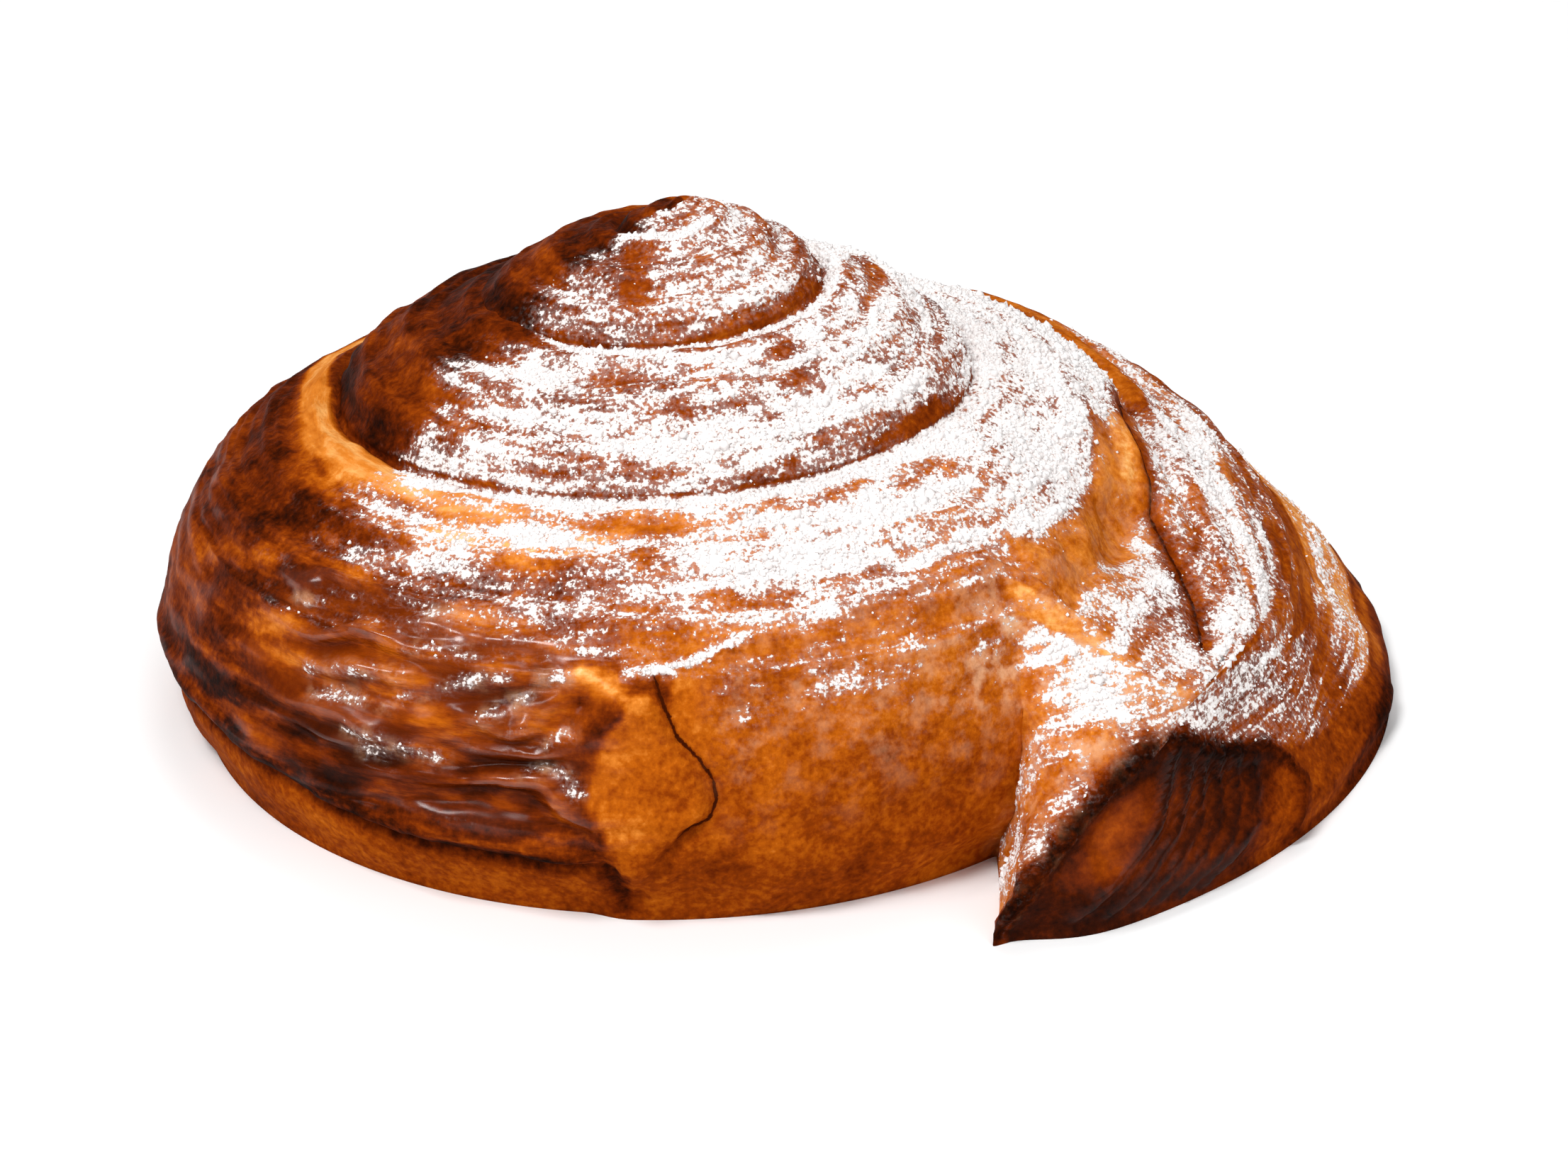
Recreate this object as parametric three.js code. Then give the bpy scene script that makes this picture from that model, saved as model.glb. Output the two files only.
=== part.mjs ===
// A baked spiral roll of laminated dough. One strip winds clockwise, seen from above, from a raised
// eye down a low cone, and ends in a pointed tail that lies against the body like a flap.
// Millimetres, +Z up, resting on its flat underside at Z = 0.
import * as THREE from "three";
import { ParametricGeometry } from "three/addons/geometries/ParametricGeometry.js";
import { mergeGeometries, mergeVertices } from "three/addons/utils/BufferGeometryUtils.js";

// Sampling: columns run along the strip, over whole turns and a part turn, and are closer together near
// the tail. Rows run across the strip and down the wall. Points closer than the weld distance are one.
const WHOLE_TURNS = 4;
const TURN_COLUMNS = 75;
const EXTRA_COLUMNS = 26;
const COLUMN_TIGHTENING = 0.6;
const STRIP_ROWS = 12;
const WALL_ROWS = 24;
const WELD_DISTANCE = 0.001;

// The spiral: its axis, the radius that the strip gains, and the flattened back of the last turn
const AXIS = new THREE.Vector2(-9.25, 0.76);
const AXIS_LEAN = 0.03;
const DEPTH_RATIO = 0.97;
const TURN_GROWTH = 9.4;
const TURN_STRETCH = 1.55;
const BACK_PRESS = { depth: 10, turnsLeft: 0.35, width: 0.3 };
const TAIL_ANGLE = THREE.MathUtils.degToRad(-38);

// The cone that the grooves lie on, steeper behind
const PEAK_HEIGHT = 51.5;
const PEAK_ROUNDING = 5;
const CONE_SLOPE = 0.67;
const BACK_STEEPER = 0.1;

// A saddle in the cone towards the back right: sunk round the eye, raised under the tail's strip
const SADDLE = { angle: THREE.MathUtils.degToRad(54), spread: 0.2 };
const SADDLE_SINK = { depth: 3.5, full: 21, until: 40 };
const SADDLE_RISE = { height: 2.7, from: 30, full: 44 };

// Each turn of the strip: a rounded outer lip, low ridges of dough layers, a groove beside the next turn
const LIP_ROUNDING = 0.42;
const EYE_TURNS = [0.35, 1.05];
const GROOVE = { depth: 1, width: 0.1 };
const LAYERS = { count: 3, height: 0.3 };

// The tail: the strip is pushed out from the body, which leaves a valley and a shelf inside the tail
const TAIL_PUSH = 13;
const PUSH_BEFORE = 0.11;
const PUSH_AFTER = 0.04;
const TRIM_TURNS = 0.1;
const SHELF_SHARE = 1 / 3;
const VALLEY = { depth: 8, inset: 4, turnsBefore: 0.06, width: 0.04 };
const DROOP = { depth: 3, from: 0.18, full: 0.07 };

// The wall from the shoulder down to the base
const BODY_BULGE = 2.2;
const BODY_FOOT = 2.2;
const LEFT_FOOT = { reach: 2.2, turnsLeft: 0.72, width: 0.12 };
const TAIL_FOOT = { reach: 11, bulge: 1, from: 0.3, full: 0.1 };
const BASE_TUCK = 2;
const TUCK_START = 0.7;
const TONGUE = { height: 1.2, turnsLeft: 0.842, width: 0.03, top: 0.1, bottom: 0.85 };

// The crags of the wall's left: folds that run round it, and below them the edge where a thicker crust
// ends above a tucked skirt. Turns count back from the tip, and shares go down the wall.
const FOLDS = { height: 0.55, count: 5, wander: 0.3, waves: 9, turns: [0.84, 0.8, 0.76, 0.67], bottom: 0.6 };
const EDGE = { step: 1, share: 0.69, rise: 0.1, soft: 0.05, turns: [0.835, 0.82, 0.66, 0.52] };

// The tail's tip: its foot is carried on past its shoulder, and its wall is pleated like a fan
const TIP_SLANT = THREE.MathUtils.degToRad(25);
const TIP_BEFORE = 0.14;
const TIP_AFTER = 0.048;
const TIP_FOOT = 7;
const TIP_BULGE = 0;
const TIP_NOSE = { trim: 3.5, turns: 0.012 };
const PLEATS = { count: 3, height: 0.5, turns: 0.12 };

const { lerp } = THREE.MathUtils;
const eased = (from, to, x) => THREE.MathUtils.smoothstep(x, from, to);
const bell = (distance, width) => Math.exp(-((distance / width) ** 2));

// Share of a turn at a share of its columns: steps are short near 0 and 1, where the tail is.
const tightened = (share) =>
  share - (COLUMN_TIGHTENING * Math.sin(2 * Math.PI * share)) / (2 * Math.PI);

const STRIP_COLUMNS = WHOLE_TURNS * TURN_COLUMNS + EXTRA_COLUMNS;
const TURNS = WHOLE_TURNS + tightened(EXTRA_COLUMNS / TURN_COLUMNS);
const LAST_TURN = TURNS - 1;

// Turn number at a column of the strip, counted from 0 at the eye to TURNS at the tail's tip.
function turnAt(column) {
  const left = (STRIP_COLUMNS - column) / TURN_COLUMNS;
  const whole = Math.floor(left);
  return TURNS - whole - tightened(left - whole);
}

const stripAngle = (turn) => TAIL_ANGLE - 2 * Math.PI * (turn - TURNS);

// How far the strip is pushed out, 0 to 1: it grows up to the start of the last turn, then falls back.
function push(turn) {
  if (turn <= LAST_TURN) return eased(LAST_TURN - PUSH_BEFORE, LAST_TURN, turn);
  return 1 - eased(LAST_TURN, LAST_TURN + PUSH_AFTER, turn);
}

function spiralRadius(turn) {
  const press = BACK_PRESS.depth * bell(TURNS - BACK_PRESS.turnsLeft - turn, BACK_PRESS.width);
  return TURN_GROWTH * turn + TURN_STRETCH * turn * turn - press;
}

const TRIM = spiralRadius(TURNS) - spiralRadius(LAST_TURN) - TAIL_PUSH;

// Radius where the strip's own rounded lip ends.
function lipRadius(turn) {
  if (turn <= 0) return 0;
  return spiralRadius(turn) - TRIM * eased(TURNS - TRIM_TURNS, TURNS, turn);
}

// Radius of the strip's outer side: a groove where a further turn lies outside it, else the shoulder.
const outerRadius = (turn) => lipRadius(turn) + TAIL_PUSH * push(turn);

function coneHeight(angle, radius) {
  const slope = CONE_SLOPE + BACK_STEEPER * Math.sin(angle);
  const facing = Math.exp((Math.cos(angle - SADDLE.angle) - 1) / SADDLE.spread);
  const filled = eased(SADDLE_SINK.full, SADDLE_SINK.until, radius);
  const sink = SADDLE_SINK.depth * eased(0, SADDLE_SINK.full, radius) * (1 - filled);
  const rise = SADDLE_RISE.height * eased(SADDLE_RISE.from, SADDLE_RISE.full, radius);
  const drop = slope * (Math.hypot(radius, PEAK_ROUNDING) - PEAK_ROUNDING);
  return PEAK_HEIGHT - drop + facing * (rise - sink);
}

// Height of the strip's outer side: on the cone, but lower where the tail droops.
function outerHeight(turn) {
  const falling = eased(TURNS - DROOP.from, TURNS - DROOP.full, turn);
  const rising = eased(TURNS - DROOP.full, TURNS, turn);
  return coneHeight(stripAngle(turn), outerRadius(turn)) - DROOP.depth * falling * (1 - rising);
}

// Depth of the groove outside a turn. There is none at the eye or round the free outer side.
function grooveDepth(turn) {
  if (turn > LAST_TURN) return 0;
  return GROOVE.depth * eased(...EYE_TURNS, turn) * (1 - push(turn));
}

function place(angle, radius, height, target) {
  const x = AXIS.x + radius * (Math.cos(angle) + AXIS_LEAN);
  const y = AXIS.y + radius * Math.sin(angle) * DEPTH_RATIO;
  return target.set(x, y, height);
}

// How far out and how far down an arched strip is at a share of its width: a slope that turns into a
// quarter of an ellipse as the rounding grows.
function arch(share, rounding) {
  const sweep = (share * Math.PI) / 2;
  const out = lerp(share, Math.sin(sweep), rounding);
  const down = lerp(share, 1 - Math.cos(sweep), rounding);
  return { out, down };
}

// A point on top of the strip: across is 0 at its inner groove and 1 at its outer side. Where the strip
// is pushed out, its arch ends early at the lip, and a flat shelf goes on from there to the outer side.
function topPoint(turn, across, target) {
  const angle = stripAngle(turn);
  const plump = eased(...EYE_TURNS, turn);
  const inner = outerRadius(turn - 1);
  const outer = outerRadius(turn);
  const innerHeight = turn > 1 ? outerHeight(turn - 1) : PEAK_HEIGHT;
  const whole = arch(across, LIP_ROUNDING * plump);
  const early = arch(Math.min(1, across / (1 - SHELF_SHARE)), LIP_ROUNDING * plump);
  const shelf = Math.max(0, 1 - (1 - across) / SHELF_SHARE);
  const hollow = bell(LAST_TURN - VALLEY.turnsBefore - turn, VALLEY.width);
  const lip = lipRadius(turn) - VALLEY.inset * hollow;
  const lipHeight = coneHeight(angle, lip) - VALLEY.depth * hollow;
  const archRadius = lerp(lerp(inner, lip, early.out), outer, shelf);
  const archHeight = lerp(lerp(innerHeight, lipHeight, early.down), outerHeight(turn), shelf);
  const radius = lerp(lerp(inner, outer, whole.out), archRadius, push(turn));
  const height = lerp(lerp(innerHeight, outerHeight(turn), whole.down), archHeight, push(turn));
  const innerGroove = grooveDepth(turn - 1) * bell(across, GROOVE.width);
  const outerGroove = grooveDepth(turn) * bell(1 - across, GROOVE.width);
  const width = Math.min(1, (outer - inner) / TURN_GROWTH) * (1 - push(turn));
  const layers = LAYERS.height * plump * width * Math.sin(2 * Math.PI * LAYERS.count * across);
  return place(angle, radius, height - innerGroove - outerGroove + layers, target);
}

// Fan pleats of the tail's wall: ridges side by side over the last part of the turn.
function pleatHeight(turn) {
  const back = (TURNS - turn) / PLEATS.turns;
  if (back > 1) return 0;
  return PLEATS.height * Math.sin(2 * Math.PI * PLEATS.count * back);
}

// How far the base stands outside the shoulder, where tail and tip are shares from 0 to 1.
function footReach(turn, tail, tip) {
  const left = LEFT_FOOT.reach * bell(TURNS - LEFT_FOOT.turnsLeft - turn, LEFT_FOOT.width);
  const nose = bell(TURNS - turn, TIP_NOSE.turns) + bell(turn - LAST_TURN, TIP_NOSE.turns);
  return lerp(lerp(BODY_FOOT, TAIL_FOOT.reach, tail) + left, TIP_FOOT, tip) - TIP_NOSE.trim * nose;
}

// A tongue of dough that stands proud of the front wall.
function tongueHeight(turn, down) {
  const middle = (TONGUE.top + TONGUE.bottom) / 2;
  const upright = eased(0, TONGUE.top, down) * (1 - eased(middle, TONGUE.bottom, down));
  return TONGUE.height * upright * bell(TURNS - TONGUE.turnsLeft - turn, TONGUE.width);
}

// Share of a stretch of the wall: it grows, stays and fades between four turns counted back from the tip.
const stretch = ([from, full, until, gone], left) =>
  eased(-from, -full, -left) * (1 - eased(-until, -gone, -left));

// Folds like those of draped cloth: waves down the wall that wander as they run round it.
function foldHeight(turn, down) {
  const left = TURNS - turn;
  const upright = eased(0, 1 / FOLDS.count, down) * (1 - eased(FOLDS.bottom, EDGE.share, down));
  const phase = FOLDS.count * down + FOLDS.wander * Math.sin(2 * Math.PI * FOLDS.waves * turn);
  return FOLDS.height * stretch(FOLDS.turns, left) * upright * Math.sin(2 * Math.PI * phase);
}

// How far the skirt lies behind the crust's edge, which climbs towards the back.
function skirtDepth(turn, down) {
  const left = TURNS - turn;
  const edge = EDGE.share - EDGE.rise * eased(-EDGE.turns[1], -EDGE.turns[2], -left);
  return EDGE.step * stretch(EDGE.turns, left) * eased(edge, edge + EDGE.soft, down);
}

// A point on the outer wall of the last turn: down is 0 at the shoulder and 1 at the base.
function wallPoint(turn, down, target) {
  const tail = eased(TURNS - TAIL_FOOT.from, TURNS - TAIL_FOOT.full, turn);
  const fromTip = 1 - eased(LAST_TURN, LAST_TURN + TIP_AFTER, turn);
  const toTip = eased(TURNS - TIP_BEFORE, TURNS, turn);
  const tip = Math.max(fromTip, toTip);
  const bulge = lerp(lerp(BODY_BULGE, TAIL_FOOT.bulge, tail), TIP_BULGE, tip) + pleatHeight(turn);
  const crags = tongueHeight(turn, down) + foldHeight(turn, down) - skirtDepth(turn, down);
  const relief = bulge * Math.sin(Math.PI * down) + crags;
  const tuck = BASE_TUCK * eased(TUCK_START, 1, down);
  const radius = outerRadius(turn) + footReach(turn, tail, tip) * down + relief - tuck;
  const slant = TIP_SLANT * tip * (1 - (1 - down) ** 2);
  return place(stripAngle(turn) - slant, radius, outerHeight(turn) * (1 - down), target);
}

const topSurface = new ParametricGeometry(
  (u, v, target) => topPoint(turnAt(u * STRIP_COLUMNS), v, target),
  STRIP_COLUMNS,
  STRIP_ROWS,
);
const wallSurface = new ParametricGeometry(
  (u, v, target) => wallPoint(turnAt(STRIP_COLUMNS - TURN_COLUMNS * (1 - u)), v, target),
  TURN_COLUMNS,
  WALL_ROWS,
);

// The flat base inside the wall's foot. A reversed index turns its triangles to face down.
function underside() {
  const edge = [];
  for (let column = 0; column < TURN_COLUMNS; column++) {
    const point = wallPoint(turnAt(STRIP_COLUMNS - TURN_COLUMNS + column), 1, new THREE.Vector3());
    edge.push(new THREE.Vector2(point.x, point.y));
  }
  const flat = new THREE.ShapeGeometry(new THREE.Shape(edge));
  flat.index.array.reverse();
  return flat;
}

// Joins surfaces that share their edges into one closed skin, without the triangles that have no area.
function closedSkin(surfaces) {
  for (const surface of surfaces) {
    surface.deleteAttribute("normal");
    surface.deleteAttribute("uv");
  }
  const skin = mergeVertices(mergeGeometries(surfaces), WELD_DISTANCE);
  const kept = [];
  for (let i = 0; i < skin.index.count; i += 3) {
    const [a, b, c] = [0, 1, 2].map((corner) => skin.index.getX(i + corner));
    if (a !== b && b !== c && c !== a) kept.push(a, b, c);
  }
  skin.setIndex(kept);
  skin.computeVertexNormals();
  return skin;
}

const crust = new THREE.MeshStandardMaterial({ color: 0xa85a16, roughness: 0.55, metalness: 0 });
const roll = new THREE.Mesh(closedSkin([topSurface, wallSurface, underside()]), crust);
roll.name = "roll";

const group = new THREE.Group();
group.add(roll);
export default group;
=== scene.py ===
# %% [markdown]
# # A sugared cinnamon roll
# The real thing is one strip of layered dough, wound up from an eye, pulled out into a pointed
# tail, baked hard at the lips and dusted with sugar on one side. We load the solid model first:
# it fixes the size and the place of everything that follows.

# %% Load the solid model
import bpy
import numpy as np
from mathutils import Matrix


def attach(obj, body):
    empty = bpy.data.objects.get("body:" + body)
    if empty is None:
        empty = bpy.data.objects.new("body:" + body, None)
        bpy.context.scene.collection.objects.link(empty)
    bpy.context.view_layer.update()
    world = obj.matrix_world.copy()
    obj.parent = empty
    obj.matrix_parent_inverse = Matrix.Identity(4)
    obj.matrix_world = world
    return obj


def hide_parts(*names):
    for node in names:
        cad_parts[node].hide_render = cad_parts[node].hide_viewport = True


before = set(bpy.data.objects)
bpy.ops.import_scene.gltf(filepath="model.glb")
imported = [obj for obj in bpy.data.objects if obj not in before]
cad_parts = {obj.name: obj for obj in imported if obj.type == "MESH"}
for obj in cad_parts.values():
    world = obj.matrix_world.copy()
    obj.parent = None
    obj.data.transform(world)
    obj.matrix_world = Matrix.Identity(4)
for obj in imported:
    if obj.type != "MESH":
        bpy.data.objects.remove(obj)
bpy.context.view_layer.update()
MM = 0.001

# %% [markdown]
# ## Small tools for shaping
# Dough has no sharp steps, so nearly everything here is blended. `eased` is a soft step, `bell` a
# soft bump and `mix` a blend. Whole arrays go in and come out: numpy does the loop over points.

# %% Soft steps, bumps and blends
def eased(start, end, x):
    """Soft step: 0 up to start, 1 from end on, and 3s² - 2s³ of the share s between them."""
    share = np.clip((x - start) / (end - start), 0, 1)
    return share * share * (3 - 2 * share)


def bell(distance, width):
    """Bump of height 1: e to the power of minus the square of distance over width."""
    return np.exp(-((distance / width) ** 2))


def mix(a, b, share):
    """Straight blend: a at share 0, b at share 1."""
    return a + (b - a) * share


def within(low, high, soft, x):
    """1 between low and high, with edges that fall to 0 over the distance soft."""
    return eased(low - soft, low, x) * (1 - eased(high, high + soft, x))


print("a soft step half way:", eased(0, 2, 1.0), "and a bump one width out:", round(bell(1, 1), 3))

# %% [markdown]
# ## Uneven dough
# Baked dough is lumpy and mottled. Blender has noise in its materials, but here one noise has to carve,
# brown and sugar the same places, so it is worked out in numpy: a block of random numbers on a cubic
# lattice, blended smoothly between its points. Dividing the position by a size in millimetres sets how
# wide a lump is, and dividing each axis by another size stretches the lumps into streaks.

# %% Smooth noise on a lattice
LATTICE = 32
lattice = np.random.default_rng(20).uniform(-1, 1, (LATTICE, LATTICE, LATTICE))


def lumps(position):
    """Noise from -1 to 1: the eight lattice values round a point, blended by soft steps."""
    cell = np.floor(position).astype(int)
    step = position - cell
    step = step * step * (3 - 2 * step)
    total = 0
    for corner in np.ndindex(2, 2, 2):
        index = tuple(((cell + corner) % LATTICE).T)
        weight = np.prod(np.where(np.array(corner) == 1, step, 1 - step), axis=1)
        total = total + weight * lattice[index]
    return total


def rough(position, layers=3):
    """Noise on noise: each further layer is half as wide and half as strong."""
    return sum(lumps(position * 2**k + 7.3 * k) / 2**k for k in range(layers))


print("lattice of", lattice.size, "random values")

# %% [markdown]
# ## The spiral
# The strip is followed by its turn number, from 0 at the eye to 4.27 at the tail's tip. A profile swept
# along a spiral curve would cut into its neighbours, so the roll is a function of turn and share instead:
# the outer side of one turn is the inner side of the next. The same named sizes shape the solid model, so
# the two agree to a fraction of a millimetre. First come the strip's angle and the push of its tail.

# %% Angle of the strip and push of the tail
TAIL_ANGLE = np.radians(-38)
TURNS = 4.26826
LAST_TURN = TURNS - 1
PUSH_BEFORE, PUSH_AFTER = 0.11, 0.04


def strip_angle(turn):
    """Angle of the strip round the axis: clockwise, a full circle for each turn."""
    return TAIL_ANGLE - 2 * np.pi * (turn - TURNS)


def push(turn):
    """How far the tail is pushed out, 0 to 1: a soft rise up to the last turn and a quick fall after it."""
    rise = eased(LAST_TURN - PUSH_BEFORE, LAST_TURN, turn)
    fall = eased(LAST_TURN, LAST_TURN + PUSH_AFTER, turn)
    return np.where(turn <= LAST_TURN, rise, 1 - fall)


print("the strip makes", round(TURNS, 2), "turns, and its tail is pushed out round turn", round(LAST_TURN, 2))

# %% [markdown]
# The radius grows a little more with every turn. It is pressed in at the back, and at the tip it is
# trimmed, so that the strip ends in a point.

# %% Radius of the strip
TURN_GROWTH, TURN_STRETCH = 9.4, 1.55
BACK_PRESS, BACK_PRESS_LEFT, BACK_PRESS_WIDTH = 10, 0.35, 0.3
TAIL_PUSH, TRIM_TURNS = 13, 0.1


def spiral_radius(turn):
    """Radius grows with the turn and its square, less a bump where the back is pressed flat."""
    press = BACK_PRESS * bell(TURNS - BACK_PRESS_LEFT - turn, BACK_PRESS_WIDTH)
    return TURN_GROWTH * turn + TURN_STRETCH * turn**2 - press


TRIM = spiral_radius(TURNS) - spiral_radius(LAST_TURN) - TAIL_PUSH


def lip_radius(turn):
    """Radius of the strip's own lip: the spiral, trimmed softly to a point at the tail."""
    trimmed = spiral_radius(turn) - TRIM * eased(TURNS - TRIM_TURNS, TURNS, turn)
    return np.where(turn <= 0, 0, trimmed)


def outer_radius(turn):
    """Radius of the strip's outer side: its lip, plus the push of the tail."""
    return lip_radius(turn) + TAIL_PUSH * push(turn)


print("radius at the end of each turn:", np.round(outer_radius(np.arange(1, 5)), 1))

# %% [markdown]
# ## How high the strip lies
# The grooves lie on a low cone with a rounded peak. It is steeper at the back, sinks a little
# towards the back right round the eye, and rises again there under the tail's strip.

# %% Heights of the cone
PEAK_HEIGHT, PEAK_ROUNDING = 51.5, 5
CONE_SLOPE, BACK_STEEPER = 0.67, 0.1
SADDLE_ANGLE, SADDLE_SPREAD = np.radians(54), 0.2
SINK_DEPTH, SINK_FULL, SINK_UNTIL = 3.5, 21, 40
RISE_HEIGHT, RISE_FROM, RISE_FULL = 2.7, 30, 44
DROOP_DEPTH, DROOP_FROM, DROOP_FULL = 3, 0.18, 0.07


def cone_height(angle, radius):
    """Peak less slope times radius, with the saddle's sink and rise where the angle faces it."""
    slope = CONE_SLOPE + BACK_STEEPER * np.sin(angle)
    facing = np.exp((np.cos(angle - SADDLE_ANGLE) - 1) / SADDLE_SPREAD)
    sink = SINK_DEPTH * eased(0, SINK_FULL, radius) * (1 - eased(SINK_FULL, SINK_UNTIL, radius))
    rise = RISE_HEIGHT * eased(RISE_FROM, RISE_FULL, radius)
    drop = slope * (np.hypot(radius, PEAK_ROUNDING) - PEAK_ROUNDING)
    return PEAK_HEIGHT - drop + facing * (rise - sink)


def outer_height(turn):
    """Height of the strip's outer side: on the cone, lower where the tail droops."""
    falling = eased(TURNS - DROOP_FROM, TURNS - DROOP_FULL, turn)
    rising = eased(TURNS - DROOP_FULL, TURNS, turn)
    return cone_height(strip_angle(turn), outer_radius(turn)) - DROOP_DEPTH * falling * (1 - rising)


print("height of the strip's outer side at each turn:", np.round(outer_height(np.arange(1, 5)), 1))

# %% [markdown]
# A groove parts each turn from the next, but the eye, the tail and the free side have none. A point of the
# roll comes from an angle and a radius round an axis that leans a little to the right, and from a height.

# %% Grooves, and points in space
GROOVE_DEPTH, GROOVE_WIDTH = 1.0, 0.1
EYE_TURNS = (0.35, 1.05)
AXIS_X, AXIS_Y, AXIS_LEAN = -9.25, 0.76, 0.03
DEPTH_RATIO = 0.97


def groove_depth(turn):
    """Depth of the groove outside a turn: none at the eye, in the tail, or round the free side."""
    depth = GROOVE_DEPTH * eased(*EYE_TURNS, turn) * (1 - push(turn))
    return np.where(turn > LAST_TURN, 0, depth)


def place(angle, radius, height):
    """Point in millimetres from an angle and a radius round the leaning axis, and a height."""
    x = AXIS_X + radius * (np.cos(angle) + AXIS_LEAN)
    y = AXIS_Y + radius * np.sin(angle) * DEPTH_RATIO
    return np.stack(np.broadcast_arrays(x, y, height), axis=-1)


print("top of the eye:", np.round(place(0.0, 0.0, PEAK_HEIGHT), 1))

# %% [markdown]
# ## The top of the strip
# Across its width the strip is a slope that curves over into a rounded lip. Where the tail is pushed
# out, the arch stops early and a flat shelf goes on from there: two arches are worked out and blended.

# %% Points on top of the strip
LIP_ROUNDING, SHELF_SHARE = 0.42, 1 / 3
VALLEY_DEPTH, VALLEY_INSET, VALLEY_BEFORE, VALLEY_WIDTH = 8, 4, 0.06, 0.04
LAYER_COUNT, LAYER_HEIGHT = 3, 0.3


def arch(share, rounding):
    """How far out and down: a straight slope blended into a quarter of an ellipse."""
    sweep = share * np.pi / 2
    return mix(share, np.sin(sweep), rounding), mix(share, 1 - np.cos(sweep), rounding)


def top_point(turn, across):
    """Point on the strip: across is 0 at its inner groove and 1 at its outer side."""
    angle = strip_angle(turn)
    plump = eased(*EYE_TURNS, turn)
    inner, outer = outer_radius(turn - 1), outer_radius(turn)
    inner_height = np.where(turn > 1, outer_height(turn - 1), PEAK_HEIGHT)
    whole_out, whole_down = arch(across, LIP_ROUNDING * plump)
    early_out, early_down = arch(np.minimum(1, across / (1 - SHELF_SHARE)), LIP_ROUNDING * plump)
    shelf = np.maximum(0, 1 - (1 - across) / SHELF_SHARE)
    hollow = bell(LAST_TURN - VALLEY_BEFORE - turn, VALLEY_WIDTH)
    lip = lip_radius(turn) - VALLEY_INSET * hollow
    lip_height = cone_height(angle, lip) - VALLEY_DEPTH * hollow
    arch_radius = mix(mix(inner, lip, early_out), outer, shelf)
    arch_height = mix(mix(inner_height, lip_height, early_down), outer_height(turn), shelf)
    radius = mix(mix(inner, outer, whole_out), arch_radius, push(turn))
    height = mix(mix(inner_height, outer_height(turn), whole_down), arch_height, push(turn))
    grooves = groove_depth(turn - 1) * bell(across, GROOVE_WIDTH)
    grooves = grooves + groove_depth(turn) * bell(1 - across, GROOVE_WIDTH)
    width = np.minimum(1, (outer - inner) / TURN_GROWTH) * (1 - push(turn))
    layers = LAYER_HEIGHT * plump * width * np.sin(2 * np.pi * LAYER_COUNT * across)
    return place(angle, radius, height - grooves + layers)


print("a point on the second turn:", np.round(top_point(np.array(2.5), np.array(0.5)), 1))

# %% [markdown]
# ## Folds and the crust's edge
# At the front left the crust shrank into folds as it baked, and it ends in a thick edge that overhangs
# a tucked skirt. The folds are waves down the wall that wander as they run round it, the edge a soft step.

# %% Large folds and the step under the edge
FOLD_HEIGHT, FOLD_COUNT, FOLD_WANDER, FOLD_WAVES, FOLD_BOTTOM = 0.35, 5, 0.3, 9, 0.6
FOLD_TURNS = (0.84, 0.8, 0.76, 0.67)
EDGE_STEP, EDGE_SHARE, EDGE_RISE, EDGE_SOFT = 1, 0.69, 0.1, 0.05
EDGE_TURNS = (0.835, 0.82, 0.66, 0.52)


def stretch(turns, left):
    """Grows, stays and fades between four turns counted back from the tip: 0, 1, 1 and 0."""
    start, full, until, gone = turns
    return eased(-start, -full, -left) * (1 - eased(-until, -gone, -left))


def edge_share(turn):
    """Share down the wall where the crust's edge lies: it climbs towards the back."""
    return EDGE_SHARE - EDGE_RISE * eased(-EDGE_TURNS[1], -EDGE_TURNS[2], turn - TURNS)


def crags(turn, down):
    """Folds and the step at the crust's edge: waves that wander, less the depth of the skirt."""
    upright = eased(0, 1 / FOLD_COUNT, down) * (1 - eased(FOLD_BOTTOM, EDGE_SHARE, down))
    phase = FOLD_COUNT * down + FOLD_WANDER * np.sin(2 * np.pi * FOLD_WAVES * turn)
    waves = FOLD_HEIGHT * stretch(FOLD_TURNS, TURNS - turn) * upright * np.sin(2 * np.pi * phase)
    edge = edge_share(turn)
    return waves - EDGE_STEP * stretch(EDGE_TURNS, TURNS - turn) * eased(edge, edge + EDGE_SOFT, down)


print("depth of the skirt at the front left:", round(float(-crags(np.array(3.52), np.array(0.9))), 2), "mm")

# %% [markdown]
# ## The wall
# Below the shoulder of the last turn a bulging wall goes down to the base. At the tail it leans out
# like a flap, and at the tip its foot is carried on past its shoulder, so the end is a slanted point.

# %% Points on the wall
BODY_BULGE, BODY_FOOT = 2.2, 2.2
LEFT_REACH, LEFT_LEFT, LEFT_WIDTH = 2.2, 0.72, 0.12
TAIL_REACH, TAIL_BULGE, TAIL_FROM, TAIL_FULL = 11, 1, 0.3, 0.1
BASE_TUCK, TUCK_START = 2, 0.7
TONGUE_HEIGHT, TONGUE_LEFT, TONGUE_WIDTH, TONGUE_TOP, TONGUE_BOTTOM = 1.2, 0.842, 0.03, 0.1, 0.85
TIP_SLANT, TIP_BEFORE, TIP_AFTER = np.radians(25), 0.14, 0.048
TIP_FOOT, TIP_BULGE, NOSE_TRIM, NOSE_TURNS = 7, 0, 3.5, 0.012
PLEAT_COUNT, PLEAT_HEIGHT, PLEAT_TURNS = 3, 0.5, 0.12


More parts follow.
